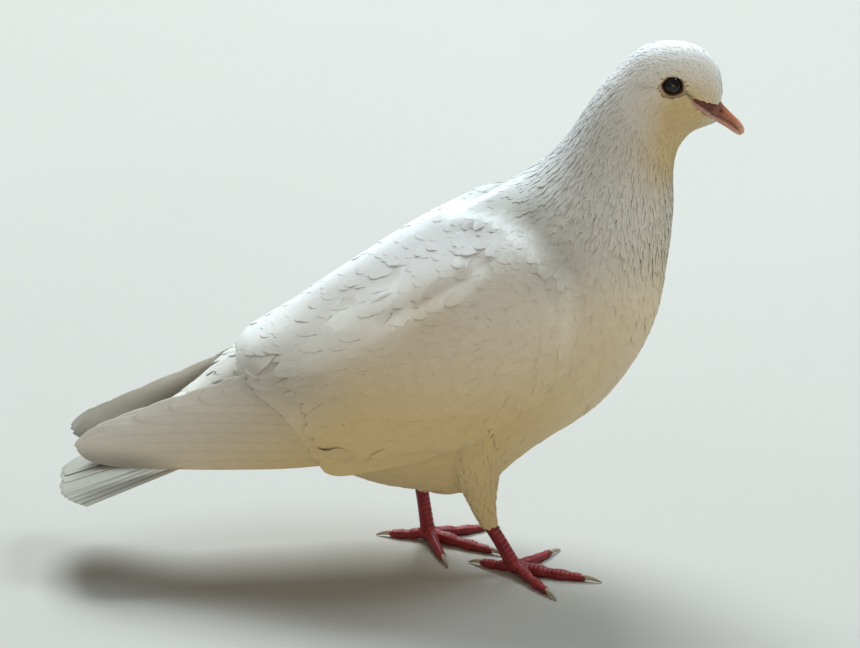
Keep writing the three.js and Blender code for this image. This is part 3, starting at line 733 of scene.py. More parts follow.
def plumage_material(name, shaded_root, barbs, tones, shaft_share):
    """White feathers: cream, grey and brown by the tints, which also carry painted shade and warm bounce
    light; darker at the root as painted shade under the feathers above; with fine barbs.
    """
    made, tree, shader = surface(name, Roughness=0.82, Sheen_Weight=0.14, Sheen_Roughness=0.45,
                                 Specular_IOR_Level=0.25)
    # Cream and grey by the tints, including painted warm bounce light, shade and shadow.
    colour = blend(tree, attribute(tree, "cream"), WHITE, CREAM_AND_WARM_BOUNCE)
    colour = blend(tree, attribute(tree, "grey"), colour, GREY_AND_SHADE)
    along, across = attribute(tree, "along"), attribute(tree, "across")
    side = maths(tree, "ABSOLUTE", across)
    # Painted shade towards each feather's root, under the feathers that overlap it.
    colour = times(tree, colour, remap(tree, along, 0.35, 0.95, shaded_root, 1.0))
    colour = times(tree, colour, remap(tree, attribute(tree, "tone"), 0, 1, *tones))
    shaft = remap(tree, side, 0.03, 0.08, shaft_share, 0.0)
    colour = blend(tree, shaft, colour, UMBER)
    colour = mottled(tree, colour, noise(tree, 260, 4), 0.97, 1.03)
    # Dark lines, among them painted shade in the crease of the wing.
    colour = blend(tree, attribute(tree, "dark"), colour, UMBER)
    paint(tree, shader, colour)
    slant = maths(tree, "ADD", along, maths(tree, "MULTIPLY", side, -0.35))
    wave = maths(tree, "SINE", maths(tree, "MULTIPLY", slant, barbs))
    raise_by(tree, shader, remap(tree, wave, -1, 1), 0.00005, 0.3)
    return made


def eye_material():
    """A black pupil in a dark brown iris, under a wet gloss."""
    made, tree, shader = surface("eye", Roughness=0.08, Specular_IOR_Level=0.3, Coat_Weight=0.25,
                                 Coat_Roughness=0.03)
    radial = attribute(tree, "radial")
    rings = remap(tree, radial, 3.5, 4.2)
    streaks = remap(tree, noise(tree, 1500), 0.3, 0.7, 0.7, 1.2)
    brown = times(tree, blend(tree, rings, (0.006, 0.004, 0.003, 1), (0.060, 0.024, 0.012, 1)), streaks)
    colour = blend(tree, remap(tree, radial, 3.0, 3.3), (0.002, 0.002, 0.003, 1), brown)
    paint(tree, shader, colour)
    return made


def lid_material():
    """Bare greyish skin, brown at the rim of the lids, finely wrinkled."""
    made, tree, shader = surface("lid", Roughness=0.55)
    rim = attribute(tree, "rim")
    colour = blend(tree, rim, (0.70, 0.58, 0.38, 1), (0.18, 0.078, 0.036, 1))
    grain = noise(tree, 2600)
    paint(tree, shader, mottled(tree, colour, grain, 0.85, 1.1))
    raise_by(tree, shader, grain, 0.0001, 0.6)
    return made


def bill_material():
    """Horn that runs from red-brown at the root over salmon to a pale tip."""
    made, tree, shader = surface("bill", Roughness=0.42, Specular_IOR_Level=0.45)
    along = attribute(tree, "along")
    colour = blend(tree, remap(tree, along, 0.02, 0.30), (0.74, 0.42, 0.30, 1), (0.52, 0.18, 0.085, 1))
    colour = blend(tree, remap(tree, along, 0.30, 0.80), colour, (0.13, 0.030, 0.014, 1))
    colour = blend(tree, attribute(tree, "pale"), colour, (0.66, 0.36, 0.28, 1))
    colour = mottled(tree, colour, noise(tree, 700, 5), 0.82, 1.12)
    # Dark in the nostril, along the edge where the mandibles meet and in the line of the mouth: painted
    # shade.
    colour = blend(tree, attribute(tree, "dark"), colour, (0.07, 0.02, 0.012, 1))
    paint(tree, shader, colour)
    raise_by(tree, shader, noise(tree, 1400), 0.0001, 0.35)
    return made


def leg_material():
    """Crimson skin of small scales, with paler edges to the scutes that are partly painted highlight."""
    made, tree, shader = surface("leg_skin", Roughness=0.45, Specular_IOR_Level=0.45)
    place = node(tree, "ShaderNodeTexCoord").outputs["Object"]
    cells = node(tree, "ShaderNodeTexVoronoi", {"Vector": place, "Scale": 1250.0},
                 feature="DISTANCE_TO_EDGE")
    crack = remap(tree, cells.outputs["Distance"], 0.0, 0.12)
    top = attribute(tree, "top")
    blotch = remap(tree, noise(tree, 420, 4), 0.35, 0.7)
    colour = blend(tree, blotch, (0.15, 0.006, 0.009, 1), (0.32, 0.013, 0.017, 1))
    # The pink on the scutes' edges is partly painted highlight.
    edge = maths(tree, "MULTIPLY", attribute(tree, "edge"), 0.28)
    colour = blend(tree, edge, colour, (0.66, 0.22, 0.25, 1))
    scaly = maths(tree, "MAXIMUM", crack, top)
    colour = times(tree, colour, remap(tree, scaly, 0, 1, 0.6, 1.0))
    paint(tree, shader, colour)
    raise_by(tree, shader, scaly, 0.00012, 0.6)
    return made


def claw_material():
    """Horn, pale at the root and olive-grey at the tip, with fine streaks along it."""
    made, tree, shader = surface("claw", Roughness=0.38)
    colour = blend(tree, attribute(tree, "along"), (0.55, 0.44, 0.33, 1), (0.24, 0.20, 0.13, 1))
    grain = noise(tree, 1800, 4)
    paint(tree, shader, mottled(tree, colour, grain, 0.75, 1.15))
    raise_by(tree, shader, grain, 0.00008, 0.4)
    return made


def wedge_edges(x):
    """Heights of the upper and the lower edge of the bare wedge at places x, in millimetres."""
    reach = x - GAPE[0]
    blunt = GAPE_BLUNTNESS * smooth_step(-0.5, 1.2, reach)
    return GAPE[1] + reach * GAPE_SLOPES[0], GAPE[1] + reach * GAPE_SLOPES[1] - blunt


# ---- feathers --------------------------------------------------------------------------------------
NET_ALONG = np.array([0, 1 / 3, 2 / 3, 1])
NET_ACROSS = np.array([-1.0, 0.0, 1.0])
VARIANTS = 6
PATCH = 0.003  # size of a feather's patch on the map OFBake
QUILL_COLUMNS = 15  # points across a long feather
BOXES_ROUND = list(itertools.product((-1, 0, 1), repeat=3))  # a box and those that touch it


def lagrange(stations, values):
    """Weights of the stations for the smooth curve through them, at values."""
    weights = np.ones((len(values), len(stations)))
    for i, own in enumerate(stations):
        for other in np.delete(stations, i):
            weights[:, i] *= (values - other) / (own - other)
    return weights


def net_of(chart, row, column, heading, length, width):
    """Points and normals of a coarse net for each feather, bent to the chart."""
    points, normals = [], []
    for step in range(len(NET_ALONG)):
        if step:
            row, column = chart.walk(row, column, heading * (length * NET_ALONG[1])[:, None])
            column = chart.kept_in(column)
        _, _, _, normal = chart.at(row, column)
        heading = unit(heading - dot(heading, normal) * normal)
        side = np.cross(normal, heading)
        for hand in NET_ACROSS:
            rows, columns = chart.walk(row, column, side * (hand * width / 2)[:, None])
            point, _, _, own = chart.at(rows, chart.kept_in(columns))
            points.append(point)
            normals.append(own)
    shape = (len(NET_ALONG), len(NET_ACROSS), len(row), 3)
    return [np.reshape(part, shape).transpose(2, 0, 1, 3) for part in (points, normals)]


def vane(stations, columns, roundness, fringe, rng):
    """Places along and across a vane that is narrow at its root, round at its tip and frayed there."""
    across = np.linspace(-1, 1, columns)
    stations = np.array(stations, float)
    along = stations[:, None] * (1 - roundness * np.abs(across)[None] ** 2.2)
    widths = np.interp(stations, (0, 0.2, 0.55, 0.85, 1), (0.35, 0.72, 1.0, 0.95, 0.78))
    side = widths[:, None] * across[None]
    cut = fringe * rng.random(columns)
    cut[::2] *= 0.2
    along[-1] -= cut
    along[-2] -= 0.35 * cut
    side[-1] += 0.3 * (rng.random(columns) - 0.5) * 2 / columns
    return along.ravel(), side.ravel()


def scatter(chart, spacing, first, last, rng):
    """Places on a chart between two rows, about each row's spacing apart."""
    _, along, around, _ = np.split(chart.data[first:last], 4, axis=-1)
    area = np.linalg.norm(np.cross(along, around), axis=-1)
    counts = rng.poisson(5 * area / spacing[first:last, None] ** 2)
    rows, columns = np.nonzero(counts)
    repeats = counts[rows, columns]
    row = np.repeat(rows, repeats) + first + rng.random(repeats.sum())
    column = np.repeat(columns, repeats) + rng.random(repeats.sum())
    mix = rng.permutation(len(row))
    row, column = row[mix], column[mix]
    reach = 0.83 * spacing[np.minimum(row.astype(int), chart.rows - 1)]
    points = chart.at(row, column)[0]
    boxes = np.floor(points / reach.max()).astype(int).tolist()
    taken, kept = {}, []
    for k, (spot, (x, y, z)) in enumerate(zip(points.tolist(), boxes)):
        near = (other for i, j, h in BOXES_ROUND for other in taken.get((x + i, y + j, z + h), ()))
        if all(math.dist(spot, other) >= reach[k] for other in near):
            taken.setdefault((x, y, z), []).append(spot)
            kept.append(k)
    return row[kept], column[kept]


def turned(heading, normal, angle):
    """Headings turned round their normals by angles in radians."""
    side = np.cross(normal, heading)
    return heading * np.cos(angle)[:, None] + side * np.sin(angle)[:, None]


def coat(name, chart, row, column, heading, length, width, low, high, material, rng, *, columns, fringe,
         stations=(0, 0.4, 0.65, 0.82, 0.93, 1), roundness=0.34, camber=0.05, tilt=0.0, follow=0.85):
    """One piece of feathers, joined. follow is how much of their shading follows the chart."""
    points, normals = net_of(chart, row, column, heading, length, width)
    map_roots = chart.unwrap(row, column)
    count, size = len(row), len(stations) * columns
    variant = rng.integers(0, VARIANTS, count)
    places = np.zeros((count, size, 3))
    shading = np.zeros((count, size, 3))
    vane_along, vane_across = np.zeros((count, size)), np.zeros((count, size))
    for k in range(VARIANTS):
        own = variant == k
        along, across = vane(stations, columns, roundness, fringe, rng)
        weights = (lagrange(NET_ALONG, along), lagrange(NET_ACROSS, across))
        place = np.einsum("vi,vj,fijc->fvc", *weights, points[own])
        normal = unit(np.einsum("vi,vj,fijc->fvc", *weights, normals[own]))
        rise = low[own, None] + (high - low)[own, None] * np.clip(along, 0, 1) ** 1.2
        rise = rise - camber * across**2 * width[own, None] + tilt * across * width[own, None]
        places[own] = place + normal * rise[..., None]
        shading[own] = normal
        vane_along[own], vane_across[own] = along, across
    faces = grid_faces(len(stations), columns)
    faces = (faces[None] + (np.arange(count) * size)[:, None, None]).reshape(-1, 4)
    flat = places.reshape(-1, 3)
    floats = {"along": vane_along.ravel(), "across": vane_across.ravel(),
              "tone": np.repeat(rng.random(count), size), **tints_and_shade(flat)}
    piece = new_piece(name, flat, faces, material, floats)
    spread = np.stack([vane_across, vane_along - 0.5], -1) * [PATCH / 2, PATCH]
    lay_map(piece.data, (map_roots[:, None] + spread).reshape(-1, 2))
    own = normals_of(piece.data)
    flip = np.sign(dot(own, shading.reshape(-1, 3)))
    shaded = unit(shading.reshape(-1, 3) * follow + own * np.where(flip == 0, 1, flip) * (1 - follow))
    piece.data.normals_split_custom_set_from_vertices(shaded.tolist())
    return settle(piece, "plumage")


def lay_map(mesh, places):
    """Gives a mesh the map OFBake, with a place for each of its points."""
    layer = mesh.uv_layers.new(name="OFBake")
    corners = np.zeros(len(mesh.loops), int)
    mesh.loops.foreach_get("vertex_index", corners)
    layer.data.foreach_set("uv", places[corners].astype(np.float32).ravel())


def coat_sizes(places):
    """Length, width, spacing, lift and depth of the coat for each row of the body's chart, in metres."""
    known = [PLACE[name] for name in COAT]
    return np.stack([np.interp(places, known, column) for column in zip(*COAT.values())]) * MM


def clear_of_face(roots, tips):
    """Which feathers keep clear of the eyes and of the bare skin at the corners of the mouth."""
    keep = np.ones(len(roots), bool)
    for points in (roots, roots * 0.5 + tips * 0.5, tips):
        p = on_left(points) / MM
        eye = np.linalg.norm((p - EYE_CENTRE - EYE_SHIFT)[:, [0, 2]] * [1, 1.12], axis=1)
        keep &= (eye > LID_REACH - 0.2) | (p[:, 1] < 3)
        upper, lower = wedge_edges(p[:, 0])
        keep &= ~((p[:, 0] > GAPE[0]) & (p[:, 2] < upper + 0.5) & (p[:, 2] > lower - 0.1))
    return keep & (roots[:, 0] / MM < np.interp(roots[:, 2] / MM, *zip(*FACE_FRONT)))


def beside_wing(wing, roots, normal):
    """Which feathers of the body the wings leave free, and how far those of the back stand over them."""
    gap, wing_row, wing_column = wing_places(wing, roots)
    border = np.interp(wing_row, range(len(WING_BORDER)), WING_BORDER)
    ahead_of_wing = wing_row < 0.42
    rear = smooth_step(3.0, 3.5, wing_row)
    further = 0.28 + 0.30 * smooth_step(3.5, 4.3, wing_row)
    keep = (gap > (5 + 2.5 * rear) * MM) | ahead_of_wing | (wing_column > 3.78 + 0.21 * rear)
    keep |= (wing_column < border + further) & (roots[:, 0] > BACK_END)
    keep &= (roots[:, 0] > BACK_END) | (normal[:, 2] < 0.1)
    share = np.where(ahead_of_wing, 0.3, smooth_step(0.9, 0.1, border - wing_column))
    return keep, SCAPULAR_RISE * (gap < 5 * MM) * share


def body_coat(chart, places, wing, materials):
    """The feathers of head, neck and trunk."""
    length, width, spacing, lift, depth = coat_sizes(places)
    for number, (name, (start, end)) in enumerate(COAT_PIECES.items()):
        rng = np.random.default_rng(100 + number)
        first, last = np.searchsorted(places, [PLACE[start], PLACE[end]])
        row, column = scatter(chart, spacing, first, last, rng)
        roots, along, _, normal = chart.at(row, column)
        index = row.astype(int)
        loose = np.where(places[index] > PLACE["nape"], 0.16, 0.08)
        heading = turned(unit(along), normal, rng.normal(0, 1, len(row)) * loose)
        size = 1 + 0.12 * rng.normal(0, 1, len(row)).clip(-2, 2)
        keep, raised = beside_wing(wing, roots, normal)
        if name == "coat_head":
            keep &= clear_of_face(roots, roots + heading * (length[index] * size)[:, None])
        row, column, heading, size, index, raised = (
            a[keep] for a in (row, column, heading, size, index, raised))
        sunk = np.minimum((0.45 if name in FINE_VANES else 0.24) * depth, 0.2 * length)[index]
        high = raised + lift[index] * (0.6 + 0.8 * rng.random(len(row)))
        coat(name, chart, row, column, heading, length[index] * size, width[index] * size, raised - sunk,
             high, materials[name], rng, **FINE_VANES.get(name, BROAD_VANES))


def thigh_coat(name, chart, material):
    """The feathers of one thigh, down to the cuff over the bare leg."""
    rng = np.random.default_rng(300 + SIDES[name])
    spacing = np.linspace(4.0, 1.8, chart.rows) * MM
    row, column = scatter(chart, spacing, 0, chart.rows - 2, rng)
    _, along, _, normal = chart.at(row, column)
    share = row / chart.rows
    heading = turned(unit(along), normal, rng.normal(0, 0.08, len(row)))
    room = np.linalg.norm(np.diff(chart.data[..., :3].mean(1), axis=0), axis=1)
    room = np.append(np.cumsum(room[::-1])[::-1], 0)[row.astype(int)] + 1.2 * MM
    length, width = np.minimum((16.0 - 10.0 * share) * MM, room), (9.0 - 6.0 * share) * MM
    depth = np.full(len(row), -1.0 * MM)
    return coat(f"coat_thigh_{name}", chart, row, column, heading, length, width, depth,
                (0.25 - 0.1 * share) * MM, material, rng, columns=7, fringe=0.1, roundness=0.4)


def rump_coat(chart, material):
    """Long loose feathers over the root of the tail."""
    rng = np.random.default_rng(350)
    row, column = scatter(chart, np.full(chart.rows, 4.0 * MM), 3, chart.rows - 6, rng)
    _, along, _, normal = chart.at(row, column)
    keep = normal[:, 2] > -0.1
    row, column, along, normal = (a[keep] for a in (row, column, along, normal))
    share = row / chart.rows
    heading = turned(unit(along), normal, rng.normal(0, 0.07, len(row)))
    length = (15 + 10 * share) * (1 + 0.1 * rng.normal(0, 1, len(row))) * MM
    room = (chart.rows - row) / chart.rows * 84 * MM + 12 * MM
    return coat("coat_tail_coverts", chart, row, column, heading, np.minimum(length, room),
                (8.5 - 2 * share) * MM, np.full(len(row), -0.9 * MM),
                (0.03 + 0.10 * rng.random(len(row))) * MM, material, rng, columns=13, fringe=0.05,
                camber=0.02, follow=0.93)


def wing_coat(name, chart, material):
    """Rows of coverts from the wrist backwards, each longer than the row before it."""
    rng = np.random.default_rng(400 + SIDES[name])
    rows, columns, lengths, widths = [], [], [], []
    along = 0.0
    while along < COVERT_END:
        length = 9.5 + 20 * (along / COVERT_END) ** 1.2
        width = 6.4 + 6.2 * along / COVERT_END
        edge = chart.at(np.full(40, along * (WING_ROWS - 1)), np.linspace(0, WING_COLUMNS - 1, 40))[0]
        across = np.linalg.norm(np.diff(edge, axis=0), axis=1).sum() / MM
        count = int(across / (0.5 * width)) + 1
        shift = rng.random()
        loose = 1 - 0.8 * smooth_step(0.3, 0.55, along)
        place = (np.arange(count + 1) - 0.5 + shift + 0.16 * loose * rng.normal(0, 1, count + 1)) / count
        rows.append(along + 0.012 * loose * rng.normal(0, 1, count + 1))
        columns.append(place)
        lengths.append(np.full(count + 1, length))
        widths.append(np.full(count + 1, width))
        along += 0.25 * length / WING_LENGTH
    along, across = np.concatenate(rows), np.concatenate(columns)
    border = np.interp(along * RIB_GAPS[0], range(len(WING_BORDER)), WING_BORDER)
    keep = across * RIB_GAPS[1] > border + 0.05
    keep &= across < 0.975 - 0.045 * smooth_step(0.3, 0.5, along)
    row, column = along[keep] * (WING_ROWS - 1), across[keep] * (WING_COLUMNS - 1)
    jitter = 1 + 0.07 * rng.normal(0, 1, len(row))
    reach = np.linalg.norm(np.diff(chart.data[..., :3], axis=0), axis=-1).sum(0)
    spare = 0.6 + 4.6 * smooth_step(0.26, 0.42, across[keep]) + 1.8 * rng.random(len(row))
    room = (1 - along[keep]) * reach[column.astype(int)] + spare * MM
    length = np.minimum(np.concatenate(lengths)[keep] * MM * jitter, room)
    width = np.concatenate(widths)[keep] * MM * jitter
    _, ahead, _, normal = chart.at(row, column)
    loose = rng.normal(0, 0.05, len(row)) * smooth_step(0.8, 0.3, along[keep])
    heading = turned(unit(ahead), normal, loose)
    low = (-0.24 + 0.10 * smooth_step(0.35, 0.6, along[keep])) * MM
    high = 0.02 * rng.random(len(row)) * smooth_step(0.7, 0.4, along[keep]) * MM
    return coat(f"coat_wing_{name}", chart, row, column, heading, length, width, low, high, material, rng,
                stations=(0, 0.35, 0.6, 0.78, 0.9, 0.96, 1), columns=13, roundness=0.3, fringe=0.015,
                camber=0.003, tilt=-0.003 * SIDES[name], follow=0.98)


def quill(path, normal, outer, inner, thickness, camber, ridge):
    """Points of one long feather, closed: its upper face and then its lower one, row by row."""
    tangent = unit(np.gradient(path, axis=0))
    side = unit(np.cross(normal, tangent))
    across = np.linspace(-1, 1, QUILL_COLUMNS)
    reach = np.where(across < 0, across * inner[:, None], across * outer[:, None])
    size = np.maximum(outer, inner)[:, None]
    shaft = ridge * np.exp(-((reach / (0.9 * MM)) ** 2)) * np.linspace(1, 0.3, len(path))[:, None]
    rise = shaft - camber * size * across**2
    top = path[:, None] + side[:, None] * reach[..., None] + normal[:, None] * rise[..., None]
    rim = 1 - 0.75 * np.abs(across) ** 6
    return top, top - normal[:, None] * (thickness * rim)[None, :, None]


def quill_faces(rows, columns):
    """Faces of a closed quill: both faces and the rim."""
    size = rows * columns
    top = grid_faces(rows, columns)
    under = top[:, ::-1] + size
    left, right = np.arange(rows) * columns, np.arange(rows) * columns + columns - 1
    start, end = np.arange(columns), (rows - 1) * columns + np.arange(columns)
    rim = [np.stack([left[1:], left[:-1], left[:-1] + size, left[1:] + size], -1),
           np.stack([right[:-1], right[1:], right[1:] + size, right[:-1] + size], -1),
           np.stack([start[:-1], start[1:], start[1:] + size, start[:-1] + size], -1),
           np.stack([end[1:], end[:-1], end[:-1] + size, end[1:] + size], -1)]
    return np.concatenate([top, under, *rim])


def quill_width(places, root, full, tip, sharpness=0.5):
    """A feather's width along it: narrow at the root, full in the middle and round at the tip."""
    grown = root + (full - root) * smooth_step(0, 0.35, places)
    rounding = np.clip((places - (1 - tip)) / tip, 0, 0.999)
    return grown * (1 - rounding**2.4) ** sharpness


def quills(name, feathers, slot, material, replaced, seed, camber=0.035, ridge=0.22 * MM):
    """One piece of long feathers: each has a path, normals, outer and inner width and thickness."""
    rng = np.random.default_rng(seed)
    columns = QUILL_COLUMNS
    points, faces, along, across, tone, maps, shading = ([] for _ in range(7))
    count = 0
    for number, (path, normal, outer, inner, thickness) in enumerate(feathers):
        rows = len(path)
        worn = 1 + 0.012 * soften(rng.normal(0, 1, (rows, 2)), 1, False)
        top, under = quill(path, normal, outer * worn[:, 0], inner * worn[:, 1], thickness, camber, ridge)
        points += [top.reshape(-1, 3), under.reshape(-1, 3)]
        faces.append(quill_faces(rows, columns) + count)
        share = np.repeat(np.linspace(0, 1, rows), columns)
        side = np.tile(np.linspace(-1, 1, columns), rows)
        along += [share, share]
        across += [side, side]
        tone.append(np.full(2 * rows * columns, rng.random()))
        face = np.repeat(normal, columns, axis=0)
        shading += [face, -face]
        for half in (0, 1):
            strip = (2 * number + half + 0.5 + 0.42 * side) / (2 * len(feathers))
            maps.append(np.stack([strip, 0.02 + 0.96 * share], -1))
        count += 2 * rows * columns
    spots = np.concatenate(points)
    floats = {"along": np.concatenate(along), "across": np.concatenate(across),
              "tone": np.concatenate(tone), **tints_and_shade(spots)}
    piece = new_piece(name, spots, np.concatenate(faces), material, floats)
    lay_map(piece.data, np.concatenate(maps))
    own = normals_of(piece.data)
    shaded = unit(np.concatenate(shading) * 0.55 + own * 0.45)
    piece.data.normals_split_custom_set_from_vertices(shaded.tolist())
    return settle(piece, slot, *replaced)


def primaries(name, chart, material):
    """The ten primaries of one folded wing, the outermost lowest in the stack."""
    side = SIDES[name]
    feathers = []
    per_rib = (chart.rows - 1) / (len(BLADE_RIBS) - 1)
    share = np.linspace(0, 1, 42) ** 0.9
    for number, (tip, tip_across, root_across) in enumerate(PRIMARIES):
        droop = PRIMARY_DROOP[name] * smooth_step(3.4, 5.0, tip) * share**6
        tip = tip * PRIMARY_REACH[name]
        row = (-0.9 + (tip + 0.9) * share) * per_rib
        column = root_across + (tip_across - root_across) * share**1.6 + droop
        point, _, around, normal = chart.at(row, column * (chart.columns - 1))
        layer = (-1.5 + 0.27 * number) * MM
        height = np.linalg.norm(around, axis=-1) * (chart.columns - 1)
        outer = quill_width(share, 1.5, 3.6, 0.34, 0.6) * MM
        inner = np.minimum(quill_width(share, 2.5, 9.0, 0.40, 0.8) * MM,
                           column * height + 1.2 * MM + 20 * MM * (1 - share))
        widths = (outer, inner) if side < 0 else (inner, outer)
        feathers.append((point + normal * layer, normal, *widths, 0.30 * MM))
    return quills(f"primaries_{name}_vanes", feathers, "flight_feathers", material,
                  [f"primaries_{name}"], 500 + side)


def secondaries(name, chart, material):
    """The secondaries and tertials of one folded wing, the innermost on top."""
    side = SIDES[name]
    feathers = []
    share = np.linspace(0, 1, 30)
    for number in range(SECONDARIES):
        place = 1 - 0.80 * (number + 0.4) / (SECONDARIES + 2)
        start = 0.44 + 0.05 * place
        end = 1.0 + 0.012 * math.sin(9 * place)
        row = (start + (end - start) * share) * (WING_ROWS - 1)
        column = place * (WING_COLUMNS - 1) + 1.5 * share
        point, _, _, normal = chart.at(row, column)
        layer = (-2.5 + 0.14 * number) * MM
        rise = (0.3 + 1.0 * place) * MM * share**2.5
        outer = quill_width(share, 2.5, 6.2, 0.22) * MM
        inner = quill_width(share, 3, 9.0, 0.26) * MM
        inner = np.minimum(inner, np.maximum(np.abs(point[:, 1]) - 1.5 * MM, 1.5 * MM))
        widths = (outer, inner) if side < 0 else (inner, outer)
        feathers.append((point + normal * (layer + rise)[:, None], normal, *widths, 0.28 * MM))
    return quills(f"secondaries_{name}", feathers, "flight_feathers", material, [], 520 + side,
                  camber=0.006, ridge=0.06 * MM)


def tail(material):
    """The twelve tail feathers, the middle pair on top."""
    feathers = []
    share = np.linspace(0, 1, 36)
    flat = np.ones_like(share)
    half = (12 + 12.5 * share**0.8) * MM
    for side in (1, -1):
        for number, spread in enumerate(TAIL_SPREAD):
            place = (number + 0.25) / len(TAIL_SPREAD)
            tip_x = TAIL_TIP_X + 11.0 * place**1.8
            x = (TAIL_ROOT_X + (tip_x - TAIL_ROOT_X) * share) * MM
            roof = 2.5 * place**1.8 * (0.6 + 0.4 * share) * MM
            z = (TAIL_TIP_HEIGHT * MM + (x - TAIL_TIP_X * MM) * TAIL_SLOPE) - roof - 0.13 * MM * number
            z = z + (0.16 * MM if side > 0 else 0)
            path = np.stack([x, side * spread * half, z], -1)
            normal = unit(np.stack([-TAIL_SLOPE * flat, side * 4.2 * spread / 24 * flat, flat], -1))
            outer = quill_width(share, 2.5, 4.2 if number else 9.5, 0.04, 0.3) * MM
            inner = quill_width(share, 2.5, 10.5, 0.05, 0.3) * MM
            widths = (outer, inner) if side < 0 else (inner, outer)
            feathers.append((path, normal, *widths, 0.3 * MM))
    return quills("tail_vanes", feathers, "flight_feathers", material, ["tail"], 540,
                  camber=0.010, ridge=0.08 * MM)


# ---- skin ----------------------------------------------------------------------------------------
SKIN_VOXEL = 1.1 * MM
SOCKET_DEPTH, MOUTH_DEPTH = 2.2, 2.4  # how much deeper the skin lies under the eyes and the wedges
# How much deeper it lies under the wings, and between which ribs that sets in.
UNDER_WING = ((2.2, (2.6, 3.4)), (4.2, (4.1, 4.8)))


def closed_tube(grid, points, quads, fans):
    """Adds a tube of points to lists of points and faces, with a fan that closes each end."""
    rows, columns = grid.shape[:2]
    start = sum(len(p) for p in points)
    points.append(grid.reshape(-1, 3))
    quads += grid_faces(rows, columns, True, start).tolist()
    for row, shift in ((0, -1), (rows - 1, 1)):
        middle = sum(len(p) for p in points)
        points.append(grid[row].mean(0, keepdims=True))
        ring = start + row * columns + np.arange(columns)
        fans += np.stack([ring, np.roll(ring, shift), np.full(columns, middle)], -1).tolist()


def skin_piece(chart, places, wing, thighs, material):
    """One skin for head, neck, trunk, wings and thighs, inside their outer shape by the coat's depth."""
    depth = coat_sizes(places)[4]
    outer, normal = chart.data[..., :3], chart.data[..., 9:]
    gap, wing_row, _ = wing_places(wing, outer.reshape(-1, 3))
    under = sum(fall * smooth_step(*ribs, wing_row) for fall, ribs in UNDER_WING) * MM
    under = (under * smooth_step(8 * MM, 5 * MM, gap)).reshape(outer.shape[:2])
    eye = (np.array(EYE_CENTRE) + EYE_SHIFT) * MM
    left = on_left(outer)
    socket = smooth_step(6.8 * MM, 4.8 * MM, np.linalg.norm((left - eye)[..., [0, 2]], axis=-1))
    socket = socket * (left[..., 1] > 4 * MM)
    x, height = left[..., 0] / MM, left[..., 2] / MM
    upper, lower = wedge_edges(x)
    mouth = smooth_step(121, 125, x) * smooth_step(upper + 0.9, upper + 0.1, height)
    mouth = mouth * smooth_step(lower - 0.9, lower, height)
    sunk = depth[:, None] + soften(under, 3, True) + (SOCKET_DEPTH * socket + MOUTH_DEPTH * mouth) * MM
    inner = outer - normal * sunk[..., None]
    front = np.interp(inner[..., 2] / MM, *zip(*SKIN_FRONT))
    inner[..., 0] = np.minimum(inner[..., 0], front * MM)
    grids = [inner] + [thigh.data[..., :3] - thigh.data[..., 9:] * 1.2 * MM for thigh in thighs]
    points, quads, fans = [], [], []
    for grid in grids:
        closed_tube(grid, points, quads, fans)
    skin = fused("skin", np.concatenate(points), quads + fans, SKIN_VOXEL, 3, material)
    spots = points_of(skin.data)
    ones = np.ones(len(spots))
    write_floats(skin.data, {"along": ones, "across": ones, "tone": ones / 2, **tints_and_shade(spots)})
    return settle(skin, "plumage", "head", "neck", "trunk", "wing_left", "wing_right",
                  "thigh_left", "thigh_right")


# ---- head ----------------------------------------------------------------------------------------
# Rings of the lids from below the feathers in to the eyeball, in millimetres.
LID_RADII = (6.9, 6.1, 5.5, 5.0, 4.65, 4.4, 4.2, 4.0, 3.85, 3.75)
LID_HEIGHTS = (3.2, 3.75, 3.85, 3.72, 3.66, 3.66, 3.55, 3.3, 2.95, 2.6)
# For the three outermost rings: height over the skin, and how strongly they are drawn to it.
LID_ON_SKIN = ((-0.3, 1.0), (0.1, 1.0), (0.45, 0.5))
# How far each corner of the opening is drawn out, and its angle.
LID_CORNERS = ((0.13, -0.62), (0.10, math.pi - 0.12))


def eye_frame(side):
    """Centre of one eye and its outward, forward and upward directions."""
    centre = (np.array(EYE_CENTRE) + EYE_SHIFT) * [1, side, 1] * MM
    out = unit(np.array([0.08, side, 0.05]))
    ahead = unit(np.array([1.0, 0, 0]) - out[0] * out)
    return centre, out, ahead, unit(np.array([0, 0, 1.0]) - out[2] * out - ahead[2] * ahead)


def ring_grid(axes, radii, heights, count, stretch=1.0):
    """Rings round an axis: their radii and heights in millimetres, and a stretch for each point."""
    centre, out, ahead, up = axes
    turn = np.linspace(0, 2 * np.pi, count, endpoint=False)
    ring = ahead * np.cos(turn)[:, None] + up * np.sin(turn)[:, None]
    ring = ring * (stretch * np.ones(count))[:, None]
    return np.array([centre + ring * radius * MM + out * height * MM
                     for radius, height in zip(radii, heights)])


def eyeball(name, material):
    """One eyeball with a slightly bulging cornea."""
    side, count = SIDES[name], 56
    angles = np.linspace(0.001, np.pi, 40)
    radii = EYE_RADIUS + 0.3 * np.clip(1 - (angles / 0.8) ** 2, 0, 1)
    grid = ring_grid(eye_frame(side), radii * np.sin(angles), radii * np.cos(angles), count)
    faces = grid_faces(len(angles), count, True)[:, ::-side]
    radial = np.where(angles < np.pi / 2, radii * np.sin(angles), 9)
    piece = new_piece(f"eyeball_{name}", grid.reshape(-1, 3), faces, material,
                      {"radial": np.repeat(radial, count)})
    return settle(piece, "eye", f"eye_{name}")


def lid_stretch(turn):
    """The opening's outline: drawn out a little towards the bill and behind the eye."""
    stretch = 1 - 0.03 * np.abs(np.sin(turn))
    for share, corner in LID_CORNERS:
        stretch += share * np.exp(-((np.angle(np.exp(1j * (turn - corner))) / 0.33) ** 2))
    return stretch


